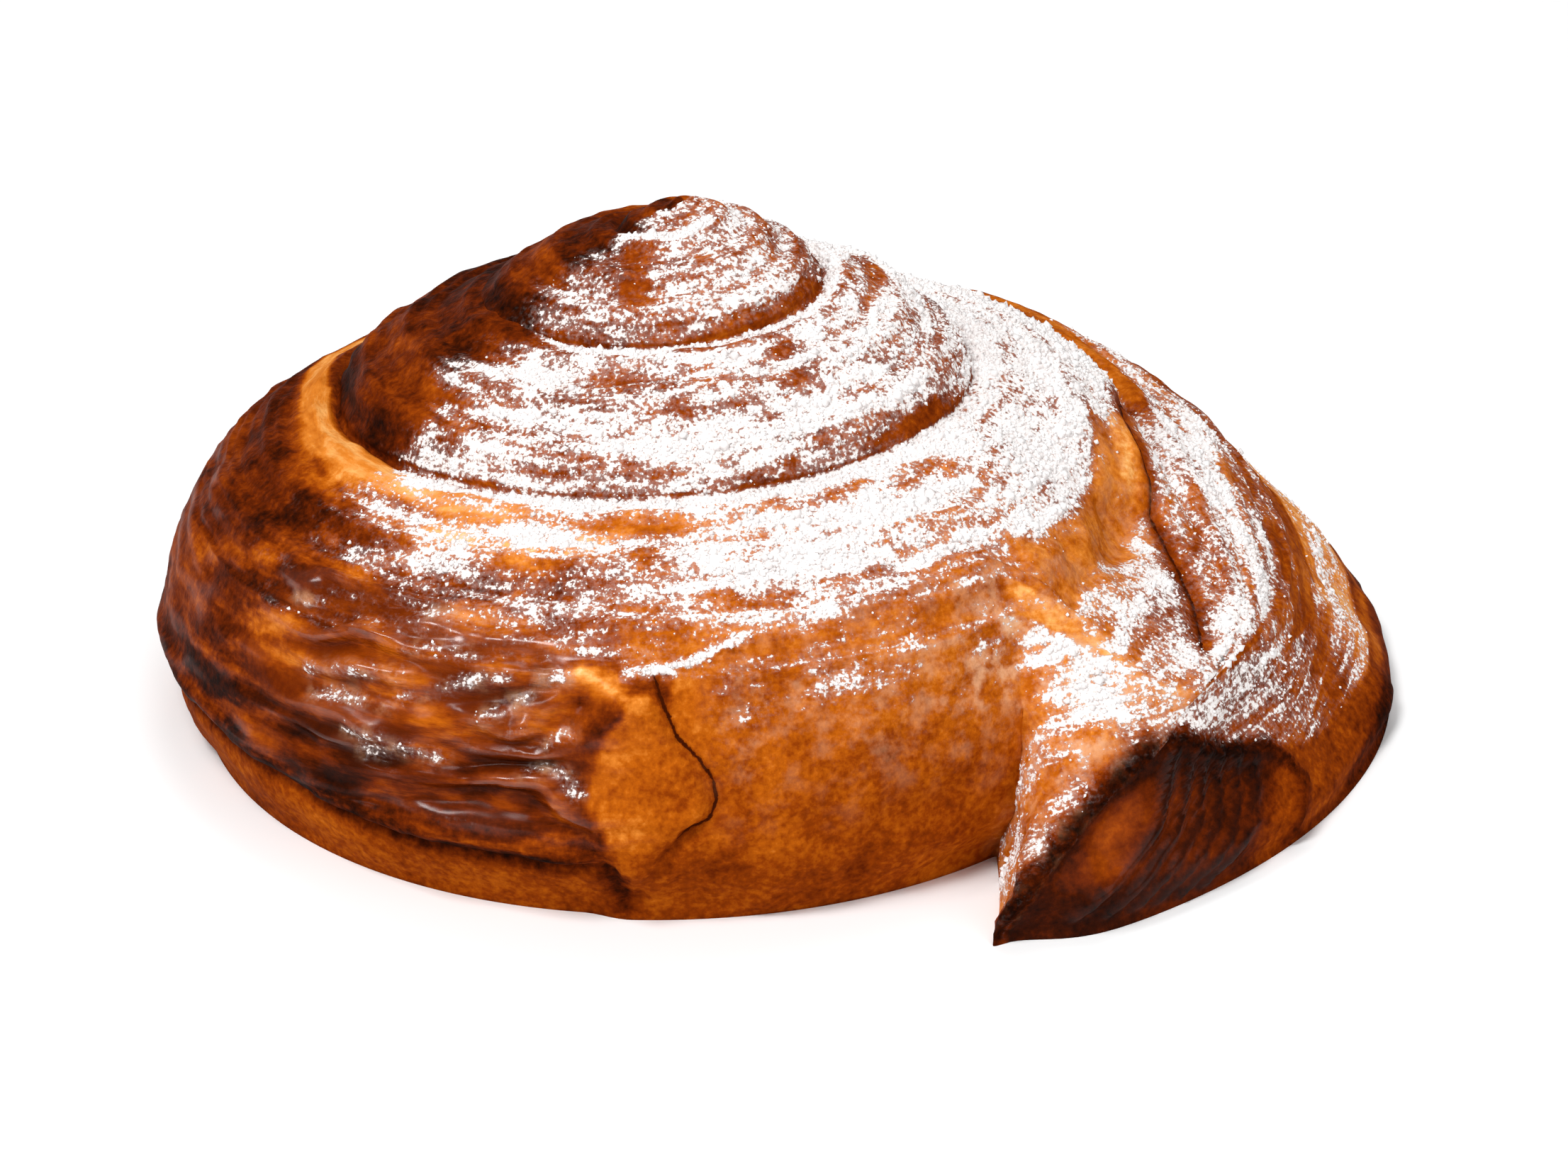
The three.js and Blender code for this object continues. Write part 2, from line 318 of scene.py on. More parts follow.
def wall_point(turn, down):
    """Point on the wall of the last turn: down is 0 at the shoulder and 1 at the base."""
    tail = eased(TURNS - TAIL_FROM, TURNS - TAIL_FULL, turn)
    from_tip = 1 - eased(LAST_TURN, LAST_TURN + TIP_AFTER, turn)
    tip = np.maximum(from_tip, eased(TURNS - TIP_BEFORE, TURNS, turn))
    back = (TURNS - turn) / PLEAT_TURNS
    pleats = np.where(back > 1, 0, PLEAT_HEIGHT * np.sin(2 * np.pi * PLEAT_COUNT * back))
    bulge = mix(mix(BODY_BULGE, TAIL_BULGE, tail), TIP_BULGE, tip) + pleats
    middle = (TONGUE_TOP + TONGUE_BOTTOM) / 2
    upright = eased(0, TONGUE_TOP, down) * (1 - eased(middle, TONGUE_BOTTOM, down))
    tongue = TONGUE_HEIGHT * upright * bell(TURNS - TONGUE_LEFT - turn, TONGUE_WIDTH)
    left = LEFT_REACH * bell(TURNS - LEFT_LEFT - turn, LEFT_WIDTH)
    nose = bell(TURNS - turn, NOSE_TURNS) + bell(turn - LAST_TURN, NOSE_TURNS)
    foot = mix(mix(BODY_FOOT, TAIL_REACH, tail) + left, TIP_FOOT, tip) - NOSE_TRIM * nose
    tuck = BASE_TUCK * eased(TUCK_START, 1, down)
    radius = outer_radius(turn) + foot * down + bulge * np.sin(np.pi * down) + tongue - tuck
    radius = radius + crags(turn, down)
    slant = TIP_SLANT * tip * (1 - (1 - down) ** 2)
    return place(strip_angle(turn) - slant, radius, outer_height(turn) * (1 - down))


print("foot of the front wall:", np.round(wall_point(np.array(3.42), np.array(1.0)), 1))

# %% [markdown]
# ## One closed skin
# Two grids cover the roll: the strip and the wall. Where they meet they share points, so the skin has
# no seams: the inner edge of a turn takes the outer edge of the turn before it, the wall hangs from
# the last shoulder, and the eye and the tip are single points. The flat underside is one face.

# %% Grids that share their edges
TURN_COLUMNS, STRIP_ROWS, WALL_ROWS = 375, 45, 60
TIGHTENING = 0.4
EXTRA_COLUMNS = 122
STRIP_COLUMNS = 4 * TURN_COLUMNS + EXTRA_COLUMNS


def turn_at(column):
    """Turn number at a column, counted back from the tip; steps are shorter near the tail's angle."""
    left = (STRIP_COLUMNS - column) / TURN_COLUMNS
    part = left - np.floor(left)
    part = part - TIGHTENING * np.sin(2 * np.pi * part) / (2 * np.pi)
    return np.maximum(TURNS - np.floor(left) - part, 0)


strip_turn, strip_across = np.meshgrid(
    turn_at(np.arange(STRIP_COLUMNS + 1)), np.linspace(0, 1, STRIP_ROWS + 1), indexing="ij")
wall_turn, wall_down = np.meshgrid(
    turn_at(STRIP_COLUMNS - TURN_COLUMNS + np.arange(TURN_COLUMNS)), np.linspace(0, 1, WALL_ROWS + 1),
    indexing="ij")
strip_grid, wall_grid = top_point(strip_turn, strip_across), wall_point(wall_turn, wall_down)

strip_own = np.arange(strip_turn.size).reshape(strip_turn.shape)
strip_ids = strip_own.copy()
strip_ids[0] = strip_ids[0, 0]
strip_ids[:TURN_COLUMNS, 0] = strip_ids[0, 0]
strip_ids[TURN_COLUMNS:, 0] = strip_ids[:-TURN_COLUMNS, -1]
strip_ids[-1] = strip_ids[-1 - TURN_COLUMNS, -1]
wall_own = strip_turn.size + np.arange(wall_turn.size).reshape(wall_turn.shape)
wall_ids = wall_own.copy()
wall_ids[:, 0] = strip_ids[STRIP_COLUMNS - TURN_COLUMNS : STRIP_COLUMNS, -1]

print("grid points:", strip_turn.size + wall_turn.size)

# %% [markdown]
# Each grid cell becomes one four-sided face. Round the eye and at the tip two corners of a cell are
# the same point, so such a cell keeps three corners, and a cell with fewer is dropped. The grid's own
# numbers of the corners are kept too, for values that differ on the two sides of a shared edge.

# %% Faces of the skin
def cells(ids, closed):
    """Four corners of every grid cell, in an order that faces outwards."""
    if closed:
        ids = np.vstack([ids, ids[:1]])
    corners = np.stack([ids[:-1, :-1], ids[1:, :-1], ids[1:, 1:], ids[:-1, 1:]], axis=-1)
    return corners.reshape(-1, 4)


corners = np.vstack([cells(strip_ids, False), cells(wall_ids, True)])
own = np.vstack([cells(strip_own, False), cells(wall_own, True)])
repeats = corners == np.roll(corners, 1, axis=1)
whole = ~repeats.any(axis=1)
three = repeats.sum(axis=1) == 1
quads, triangles = corners[whole], corners[three][~repeats[three]].reshape(-1, 3)
own_corners = np.concatenate([own[whole].ravel(), own[three][~repeats[three]], wall_ids[:, -1]])

points = np.concatenate([strip_grid.reshape(-1, 3), wall_grid.reshape(-1, 3)])
kept, renumbered = np.unique(np.concatenate([quads.ravel(), triangles.ravel()]), return_inverse=True)
skin = points[kept]
quads = renumbered[: quads.size].reshape(-1, 4)
triangles = renumbered[quads.size :].reshape(-1, 3)
half_faces = np.vstack([quads[:, [0, 1, 2]], quads[:, [0, 2, 3]], triangles])
underside = np.searchsorted(kept, wall_ids[:, -1])
print("skin of", len(skin), "points and", len(half_faces), "triangles")

# %% [markdown]
# ## Where each point lies on the roll
# Relief and colour are laid out along the dough, not in space. Every point keeps its turn number, how
# far across the strip it is, how far down the wall, and its compass angle round the axis. In kitchen
# words: third turn, near the lip, on the left. On the last turn the front is at turn 3.41, the left at
# 3.66, the back at 3.91 and the right at 4.16.

# %% Turn, share and angle of every point
LEAST_WIDTH = 0.5


def flat(strip_value, wall_value):
    """Values of the two grids in one row, in the order of the grid points."""
    return np.concatenate([strip_value.ravel(), wall_value.ravel()])


def arc(turns):
    """Distance along the strip from the eye: the sum of radius times angle, in closed form."""
    return 2 * np.pi * (TURN_GROWTH * turns**2 / 2 + TURN_STRETCH * turns**3 / 3)


def width_at(turns):
    """Width of the strip: its outer radius less that of the turn before."""
    return outer_radius(turns) - outer_radius(turns - 1)


turn = flat(strip_turn, wall_turn)[kept]
across = flat(strip_across, np.ones(wall_turn.size))[kept]
down = flat(np.zeros(strip_turn.size), wall_down)[kept]
on_wall = (kept >= strip_turn.size).astype(float)
on_strip = 1 - on_wall
compass = (np.degrees(strip_angle(turn)) + 180) % 360 - 180
strip_width = np.maximum(width_at(turn), LEAST_WIDTH)
along = arc(turn)
print("points on strip and wall:", int(on_strip.sum()), int(on_wall.sum()))

# %% [markdown]
# ## Lines and patches on the dough
# Cracks, flake edges and folds could be painted by hand on a picture of the dough. Lines are easier to
# change: a few pairs of turn and share, turned into points, and a bump by the distance to the nearest of
# them. That gives a number from 0 to 1 for every point, which can carve, raise or colour.

# %% Distance to a line drawn on the roll
LINE_STEPS = 14


def traced(pairs, on):
    """Points along a line of turn and share pairs, close together."""
    turns, shares = np.array(pairs).T
    knots = np.arange(len(pairs))
    steps = np.linspace(0, len(pairs) - 1, LINE_STEPS * (len(pairs) - 1) + 1)
    return on(np.interp(steps, knots, turns), np.interp(steps, knots, shares))


def nearest(path, reach):
    """Which points lie in reach of a path, each one's offset from the path, and where on it that is."""
    near = np.flatnonzero(np.all((skin > path.min(0) - reach) & (skin < path.max(0) + reach), axis=1))
    offsets = skin[near][:, None] - path[None]
    where = np.argmin((offsets**2).sum(axis=2), axis=1)
    return near, offsets[np.arange(len(near)), where], where


def drawn(pairs, on, width):
    """Bump of the given width along a line: e to minus (distance to it over width) squared."""
    near, offsets, _ = nearest(traced(pairs, on), 3 * width)
    mask = np.zeros(len(skin))
    mask[near] = bell(np.linalg.norm(offsets, axis=1), width)
    return mask


print("a line of two pairs has", len(traced([(3.4, 0.2), (3.5, 0.2)], wall_point)), "points")

# %% [markdown]
# A patch is a soft rectangle in turn and share. It stands for a stretch of dough that is paler, darker or
# whiter than what lies round it.

# %% Patches of the wall and of the strip
def wall_patch(turns, shares, soft_turn, soft_share):
    """1 on a soft rectangle of the wall, given by its turns and its shares down."""
    return on_wall * within(*turns, soft_turn, turn) * within(*shares, soft_share, down)


def strip_patch(turns, shares, soft_turn, soft_share):
    """1 on a soft rectangle of the strip, given by its turns and its shares across."""
    return on_strip * within(*turns, soft_turn, turn) * within(*shares, soft_share, across)


front_patch = wall_patch((3.35, 3.45), (0.3, 0.7), 0.01, 0.05)
print("points on a patch of the front wall:", int((front_patch > 0.5).sum()))

# %% [markdown]
# Relief is pushed out along the normal, the direction that points straight away from the crust. Each face's
# normal is as long as the face is large, so adding up the faces round a point weighs them by area.

# %% Which way is outwards
def normals(position):
    """Unit normal at each point: the sum of its faces' normals, by area."""
    a, b, c = (position[half_faces[:, k]] for k in range(3))
    face = np.cross(b - a, c - a)
    total = np.zeros_like(position)
    for k in range(3):
        for axis in range(3):
            total[:, axis] += np.bincount(half_faces[:, k], face[:, axis], len(position))
    return total / np.maximum(np.linalg.norm(total, axis=1, keepdims=True), 1e-12)


outwards = normals(skin)
print("mean upward share of the strip's normals:", round(float(outwards[on_strip > 0, 2].mean()), 2))

# %% [markdown]
# A crack is thinner than the grid, so a bump would blur it. Instead each point near it keeps its distance
# to the line with a sign, plus on one side and minus on the other. The material can then draw the line,
# however thin, where the distance passes through zero between two points.

# %% Signed distance to the cracks
CRACK = [(3.425, 0.02), (3.422, 0.10), (3.419, 0.19), (3.413, 0.27), (3.409, 0.35), (3.408, 0.43),
         (3.410, 0.50), (3.416, 0.55)]
FOLD_CRACK = [(3.128, 0.95), (3.140, 0.87), (3.150, 0.80), (3.180, 0.80), (3.207, 0.75), (3.224, 0.84),
              (3.241, 0.90), (3.255, 0.94)]
CRACK_REACH = 1.2


def beside(pairs, on, reach):
    """Signed distance to a line: the line's direction crossed with the offset, measured along the normal."""
    path = traced(pairs, on)
    near, offsets, where = nearest(path, reach)
    ahead = np.gradient(path, axis=0)[where]
    ahead = ahead / np.linalg.norm(ahead, axis=1, keepdims=True)
    distance = np.full(len(skin), reach)
    distance[near] = np.einsum("ij,ij->i", np.cross(ahead, offsets), outwards[near])
    return distance


crack_near, crack_side = np.zeros(len(skin)), np.full(len(skin), CRACK_REACH)
for line, on in ((CRACK, wall_point), (FOLD_CRACK, top_point)):
    close = drawn(line, on, CRACK_REACH)
    crack_side = np.where(close > crack_near, beside(line, on, 3 * CRACK_REACH), crack_side)
    crack_near = np.maximum(crack_near, close)
print("points beside a crack:", int((crack_near > 0.3).sum()))

# %% [markdown]
# ## Relief
# The layers show as fine ridges along the strip, and the grooves are cut a little deeper, except on the
# left, where two of them baked shut. The whole crust is lumpy. A Displace modifier could raise all this from
# a texture; here each form is an array of heights in millimetres, so that cracks and folds sit exactly where
# they belong. At the end the sum is added along the normal.

# %% Ridges, lumps and grooves of the strip
FINE_RIDGES, RIDGE_HEIGHT, RIDGE_WANDER, FULL_WIDTH = 10, 0.16, 2.2, 12
GROOVE_CUT, CUT_WIDTH = 0.35, 0.03
LEFT_COMPASS, SHUT_HEIGHT, SHUT_SPREAD = 170, 1.1, (40, 65)
LUMP_HEIGHT, LUMP_SIZE, PIMPLE_HEIGHT, PIMPLE_SIZE = 0.4, 8, 0.1, 1.6
ribbon = np.stack([along / 9, across * strip_width / 2.2, turn], axis=1)
ridges = np.sin(2 * np.pi * FINE_RIDGES * across + RIDGE_WANDER * lumps(ribbon))
ridges = ridges * (0.55 + 0.45 * lumps(ribbon * 0.7 + 5))
open_strip = on_strip * eased(*EYE_TURNS, turn) * (1 - push(turn))
relief = RIDGE_HEIGHT * ridges * open_strip * np.minimum(1, strip_width / FULL_WIDTH)
relief = relief - GROOVE_CUT * open_strip * (turn < LAST_TURN) * bell(1 - across, CUT_WIDTH)
from_left = np.abs((compass - LEFT_COMPASS + 180) % 360 - 180)
baked_shut = within(1.4, 1.85, 0.08, turn) * bell(1 - across, 0.15)
baked_shut = baked_shut + within(2.4, 2.85, 0.08, turn) * bell(across, 0.1)
relief = relief + SHUT_HEIGHT * on_strip * baked_shut * (1 - eased(*SHUT_SPREAD, from_left))
relief = relief + LUMP_HEIGHT * rough(skin / LUMP_SIZE) + PIMPLE_HEIGHT * lumps(skin / PIMPLE_SIZE)
print("strip relief from", round(float(relief.min()), 2), "to", round(float(relief.max()), 2), "mm")

# %% [markdown]
# The glazed front left is draped in small folds, 4 to 5 mm apart down the wall. Noise shifts them up and
# down as they run round it and makes some of them fade, as in cloth. Below them the crust's edge is a
# rounded rim over the skirt.

# %% Folds of the glazed side, the rim of the crust's edge
GLAZE_STARTS, GLAZE_ENDS = (3.43, 3.46), (3.82, 3.95)
LAST_DROP, WALL_HEIGHT = 8, 30
FOLD_SPACING, DRAPE_HEIGHT, RIPPLE_HEIGHT = 4.4, 0.75, 0.3
RIM_HEIGHT, NOTCH_DEPTH = 0.6, 0.5
wall_length = np.hypot(strip_width, LAST_DROP) * across + WALL_HEIGHT * down


def streaks(length, width, shift=0):
    """Positions for noise in streaks along the dough, of a length and a width in millimetres."""
    return np.stack([along / length, wall_length / width, turn + shift], axis=1)


glazed = eased(*GLAZE_STARTS, turn + 0.006 * on_wall + 0.012 * rough(skin / 5))
glazed = glazed * (1 - eased(*GLAZE_ENDS, turn)) * (turn > LAST_TURN)
drape = streaks(12, 8)
folds = np.sin(2 * np.pi * (wall_length / FOLD_SPACING + rough(drape)))
folds = folds * np.clip(0.45 + 0.9 * lumps(drape * 1.3 + 4), 0, 1)
draped = np.maximum(on_wall * (1 - eased(0.5, 0.66, down)), on_strip * eased(0.55, 0.8, across))
draped = draped * glazed * (1 - 0.85 * eased(3.52, 3.6, turn))
ripples = rough(streaks(5, 1.5, 2), 2)
relief = relief + (DRAPE_HEIGHT * folds + RIPPLE_HEIGHT * ripples) * draped

has_edge = on_wall * stretch(EDGE_TURNS, TURNS - turn)
under_edge = down - edge_share(turn) + 0.012 * rough(skin / 4)
below_edge = has_edge * eased(0, EDGE_SOFT, under_edge)
edge_rim = RIM_HEIGHT * bell(under_edge + 0.04, 0.04) - NOTCH_DEPTH * bell(under_edge - 0.03, 0.03)
relief = relief + has_edge * edge_rim
print("draped share of the skin:", round(float((draped > 0.5).mean()), 3))

# %% [markdown]
# The highest crests of the folds took up grains of sugar in the wet glaze, and they carry painted highlights:
# short strokes of sugar film and pale sheen, each given by the turn and share of its ends: most on the wall,
# a few just above its shoulder.

# %% Crests with sugar and painted highlights
WALL_SUGARED_GLINTS = [
    [(3.537, 0.16), (3.52, 0.115), (3.503, 0.076)], [(3.532, 0.24), (3.516, 0.21), (3.506, 0.208)],
    [(3.517, 0.32), (3.506, 0.32)], [(3.511, 0.39), (3.5, 0.34), (3.488, 0.35)],
    [(3.475, 0.17), (3.462, 0.084)], [(3.502, 0.164), (3.491, 0.104), (3.478, 0.05), (3.47, 0.02)],
    [(3.466, 0.22), (3.461, 0.17)], [(3.455, 0.234), (3.45, 0.192)], [(3.46, 0.343), (3.456, 0.341)],
    [(3.451, 0.337), (3.446, 0.397)], [(3.459, 0.016), (3.451, 0.01)]]
SHOULDER_SUGARED_GLINTS = [
    [(3.503, 0.786), (3.491, 0.748)], [(3.501, 0.956), (3.483, 0.906)], [(3.551, 0.887), (3.543, 0.868)]]
CREST_HEIGHT = 0.3
# Painted highlights: each stroke stands for glints of light on a crest, drawn with real sugar grains as sugar
# film and pale sheen.
strokes = [drawn(line, wall_point, 0.8) for line in WALL_SUGARED_GLINTS]
strokes = strokes + [drawn(line, top_point, 0.7) for line in SHOULDER_SUGARED_GLINTS]
sugared_glints = np.maximum.reduce(strokes)
relief = relief + CREST_HEIGHT * sugared_glints
print("points on sugared crests:", int((sugared_glints > 0.5).sum()))

# %% [markdown]
# From here on, forms and colours are laid over each other as named layers: a name, a height or level, and a
# mask from 0 to 1. A rule says how a layer joins what is there already. Values that change along the dough
# come from short tables of pairs.

# %% Tables and named layers
MASK_LEAST = 0.1


def looked_up(pairs, x):
    """Value at x from a table of x and value pairs, along straight lines between them."""
    return np.interp(x, *np.array(pairs).T)


def raised(value, height, mask):
    """The value so far plus a height times its mask."""
    return value + height * mask


def laid(rule, value, layers):
    """Lays named layers over a value in turn, by a rule of the value so far, the layer's own and its mask."""
    for name, level, mask in layers:
        value = rule(value, level, mask)
        print(name, "on", np.count_nonzero(np.abs(mask) > MASK_LEAST), "points")
    return value


print("half way through a table of two pairs:", looked_up([(0, 1), (2, 3)], 1.0))

# %% [markdown]
# At the front the crust has torn: a smooth tongue stands between a thin crack on its right and a
# ragged flake edge on its left, above a dark crevice. The tongue is what lies between two tables of
# share and turn, one for each side.

# %% The tongue, the crack and the flakes at the front
CRACK_END = [(3.416, 0.55), (3.422, 0.63), (3.427, 0.77), (3.430, 0.90)]
FLAKE_EDGE = [(3.424, 0.05), (3.434, 0.09), (3.441, 0.19), (3.445, 0.32), (3.446, 0.42), (3.440, 0.55)]
CREVICE = [(3.445, 0.60), (3.440, 0.70), (3.437, 0.78), (3.434, 0.97)]
# A raised flake left of the tongue, whose pale cream colour is a painted highlight.
FLAKE_WITH_HIGHLIGHT = [(3.447, 0.0), (3.440, 0.03), (3.432, 0.08), (3.428, 0.07)]
SUGAR_RIDGE = [(3.433, 0.97), (3.419, 0.94), (3.408, 0.86), (3.398, 0.82)]
BLISTER_HOLE = [(3.447, 0.06), (3.447, 0.08)]
TONGUE_START = [(0.0, 3.425), (0.19, 3.419), (0.43, 3.408), (0.55, 3.416), (0.77, 3.427)]
TONGUE_END = [(0.05, 3.43), (0.19, 3.441), (0.42, 3.446), (0.55, 3.440), (0.97, 3.434)]
SIDE_SOFT = 0.003
crevice, flake_with_highlight = drawn(CREVICE, wall_point, 1.3), drawn(FLAKE_WITH_HIGHLIGHT, wall_point, 0.8)
flake_edge, sugar_ridge = drawn(FLAKE_EDGE, wall_point, 1.6), drawn(SUGAR_RIDGE, top_point, 0.65)
blister_hole, crack_end = drawn(BLISTER_HOLE, wall_point, 0.9), drawn(CRACK_END, wall_point, 0.7)
tongue = on_wall * eased(0, SIDE_SOFT, looked_up(TONGUE_END, down) - turn)
tongue = tongue * eased(0, SIDE_SOFT, turn - looked_up(TONGUE_START, down))
tongue = tongue * eased(0.04, 0.1, down) * (1 - eased(0.7, 0.85, down))
relief = laid(raised, relief, [
    ("raised tongue", 0.35, tongue), ("crack", -0.7, drawn(CRACK, wall_point, 0.6)),
    ("faint end of the crack", -0.5, crack_end), ("crevice", -0.9, crevice),
    ("raised flake edge", 0.5, flake_edge * (1 - tongue)), ("raised flake with a painted highlight", 0.5, flake_with_highlight),
    ("raised ridge under the sugar", 0.5, sugar_ridge), ("sunk blister hole", -0.8, blister_hole)])
print("points on the tongue:", int((tongue > 0.5).sum()))

# %% [markdown]
# The tail is folded over. Its fan is a few dark pleats, bowed like the ribs of a shell, with an orange
# hollow beside the lip. The pleats between the first and the last are blends of these two. The wall above
# the valley is lumpy, and the second ridge stands right of the fan.

# %% The tail's fan, lip and lumps
FIRST_PLEAT = [(4.259, 0.22), (4.252, 0.36), (4.247, 0.50), (4.250, 0.66), (4.256, 0.86)]
LAST_PLEAT = [(4.228, 0.34), (4.224, 0.50), (4.223, 0.66), (4.226, 0.82), (4.230, 0.94)]
PLEATS, PLEAT_CROWDING = 6, 0.8
HOLLOW = [(4.262, 0.44), (4.259, 0.52), (4.254, 0.62)]
LIP = [(LAST_TURN + 0.003, share) for share in (0.95, 0.47, 0.30, 0.17)]
FAN_RIM = [(TURNS - 0.003, 0.17), (4.258, 0.19), (4.247, 0.25), (4.234, 0.315), (4.225, 0.34)]
SECOND_RIDGE = [(4.225, 0.33), (4.217, 0.44), (4.211, 0.60), (4.212, 0.74), (4.212, 0.89)]
ORANGE_RIM = [(4.02, 0.30), (4.05, 0.25), (4.093, 0.11), (4.12, 0.06)]
pleat_shares = np.linspace(0, 1, PLEATS) ** PLEAT_CROWDING
spread = [mix(np.array(FIRST_PLEAT), np.array(LAST_PLEAT), share) for share in pleat_shares]
pleats = np.minimum(1, sum(drawn(line, wall_point, 0.55) for line in spread))
hollow, second_ridge = drawn(HOLLOW, wall_point, 2.0), drawn(SECOND_RIDGE, wall_point, 1.0)
burnt_lip = np.maximum(drawn(LIP, wall_point, 1.7), drawn(FAN_RIM, wall_point, 1.2))
rim, fold_gap = drawn(ORANGE_RIM, top_point, 1.8), drawn(FOLD_CRACK, top_point, 1.3)
tail_wall = strip_patch((3.19, 3.285), (0.5, 0.74), 0.02, 0.06)
end_face = on_wall * (1 - eased(3.296, 3.318, turn + 0.012 * rough(skin / 4)))
relief = laid(raised, relief, [
    ("raised pleats", 0.6, pleats), ("sunk hollow", -0.6, hollow), ("raised second ridge", 0.7, second_ridge),
    ("ragged lip", 0.5, burnt_lip * (1 + rough(skin / 2))), ("sunk gap", -0.6, fold_gap),
    ("raised rim", 0.5, rim), ("lumps of the tail's wall", 0.6, tail_wall * rough(skin / 4)),
    ("lumps of the end face", 0.4, end_face * rough(skin / np.array([3, 3, 5.0])))])
print("points on the pleats:", int((pleats > 0.5).sum()))

# %% [markdown]
# Last, the front wall gets a fine roughness, the relief fades out just above the base so that the underside
# stays flat, and every point moves along its normal.

# %% Push the skin out by the relief
FOOT_FADE = (0.93, 1)
FRONT_ROUGHNESS, FRONT_LUMP = 0.16, 2.4
relief = relief + FRONT_ROUGHNESS * on_wall * within(3.3, 3.43, 0.02, turn) * rough(skin / FRONT_LUMP)
relief = relief * (1 - eased(*FOOT_FADE, down))
skin = skin + outwards * relief[:, None]
outwards = normals(skin)
print("relief from", round(float(relief.min()), 2), "to", round(float(relief.max()), 2), "mm")

# %% [markdown]
# ## How far each place is baked
# One number says how brown the dough is: 0 is cream crumb, 0.3 orange, 0.6 brown, 0.9 nearly black.
# Heat and glaze explain most of the pattern: the glazed left side and the lips are dark, and what lay hidden
# in a groove until the dough rose stays pale. Some layers are painted light and shade: shade in the grooves,
# cracks, crevices and gaps, a shadow under the crust's edge, shade towards the foot of the front wall and on
# the tail's right end, and light on the crests of the folds and on one flake. It could be painted on a
# picture, but layers that follow the turns are easier to put right: each has a name, a browning and a mask,
# and is laid over those before it.

# %% Browning of the strip, with painted shade in the grooves
LIP_OVER = [(3.58, 0.02), (3.68, 0.03), (3.73, 0.2), (3.82, 0.22)]
mottled = rough(streaks(12, 5))
left = 1 - eased(38, 60, from_left + 8 * mottled)
last = eased(LAST_TURN - 0.02, LAST_TURN + 0.03, turn)
inner, last_strip = on_strip * (1 - last), on_strip * last
bake = laid(mix, np.full(len(skin), 0.57) + 0.05 * mottled, [
    ("inner turns", 0.60 + 0.05 * mottled, inner),
    ("their left side", 0.86 - 0.12 * within(0.5, 0.74, 0.1, across) + 0.06 * mottled, left * inner)])
bake = bake + 0.04 * open_strip * (1 - last) * bell(across - 0.92, 0.07)
under_sugar = 1 - eased(3.5, 3.56, turn)
glaze_edge = across + 0.06 * mottled + 0.14 * eased(3.52, 3.58, turn)
lip_over = across - looked_up(LIP_OVER, turn)
hidden = last_strip * within(0.02, 0.17, 0.05, lip_over + 0.03 * mottled) * eased(3.44, 3.52, turn)
hidden = hidden * (1 - 0.6 * eased(3.74, 3.9, turn))
layered = lumps(np.stack([along / 10, across * strip_width / 0.7, turn], axis=1))
bake = laid(mix, bake, [
    ("last turn", 0.47 + 0.1 * eased(3.5, 3.58, turn) + 0.06 * mottled, last_strip),
    ("glazed shoulder", 0.80 - 0.1 * under_sugar + 0.08 * mottled,
     last_strip * glazed * eased(0.38, 0.55, glaze_edge)),
    ("dough hidden until it rose", 0.27 + 0.09 * layered, hidden),
    ("lip over that dough", 0.76, 0.8 * last_strip * glazed * (1 - eased(-0.03, 0.02, lip_over))),
    # Painted shade: the bottom of each groove is darkened as shade.
    ("painted shade at the bottom of the grooves", 0.74, 0.5 * open_strip * bell(1 - across, 0.02) * (turn < LAST_TURN))])
print("strip baked between", round(float(bake.min()), 2), "and", round(float(bake.max()), 2))

# %% [markdown]
# The wall is dark and mottled where it is glazed, with painted light on the crests of its folds and painted
# shade in their troughs. It is darkest along the crust's edge, with a painted shadow under it, and orange
# brown at the front, with painted shade towards its foot, and below that edge. The tongue is lighter, and the
# cracks, the crevice and the blister hole are darkened with painted shade.

# %% Browning of the wall, with painted light and shade
DARK_SPOT = [(2.597, 0.83), (2.601, 0.85)]
past_folds = eased(3.56, 3.64, turn)
glazed_wall_and_fold_shading = 0.76 - 0.03 * past_folds + 0.10 * eased(0.2, 0.6, down) + 0.08 * mottled
# Painted light and shade: the crests of the folds are made lighter and their troughs darker.
glazed_wall_and_fold_shading = glazed_wall_and_fold_shading - (0.1 * folds + 0.08 * ripples) * draped
front = on_wall * within(3.29, 3.432, 0.012, turn)
# Dark crust and a painted shadow: a dark line under the overhanging edge of the crust.
edge_shadow = bell(under_edge - 0.015, 0.055) * np.clip(0.8 + 0.5 * mottled, 0, 1)
bake = laid(mix, bake, [
    ("glazed wall with painted light and shade on its folds", glazed_wall_and_fold_shading, on_wall * glazed),
    # Painted shade: the front wall is made darker towards its foot, where less light falls.
    ("front wall", 0.50 + 0.11 * down + 0.05 * mottled, front),
    ("skirt", 0.61 + 0.05 * mottled, below_edge),
    ("dark band above the edge", 0.80, 0.7 * has_edge * bell(under_edge + 0.05, 0.09)),
    ("dark crust and painted shadow under the edge", 0.95, has_edge * edge_shadow),
    ("tongue", 0.47 + 0.08 * eased(0.45, 0.7, down) + 0.04 * mottled, tongue),
    ("flake edge", 0.84, flake_edge * (1 - tongue) * (turn > 3.42)),
    # Painted shade: the end of the crack, the crevice and the blister hole are darkened as shade in their
    # hollows.
    ("end of the crack", 0.66, crack_end),
    ("crevice", 0.92, crevice),
    # Painted highlight: the flake left of the tongue is made pale cream where it shines.
    ("flake with a painted highlight", 0.14, 0.8 * flake_with_highlight),
    ("blister hole", 0.9, blister_hole),
    ("dark spot on the left", 0.98, drawn(DARK_SPOT, top_point, 1.0))])
bake = bake + 0.13 * wall_patch((3.53, 3.61), (0.4, 0.62), 0.03, 0.1)
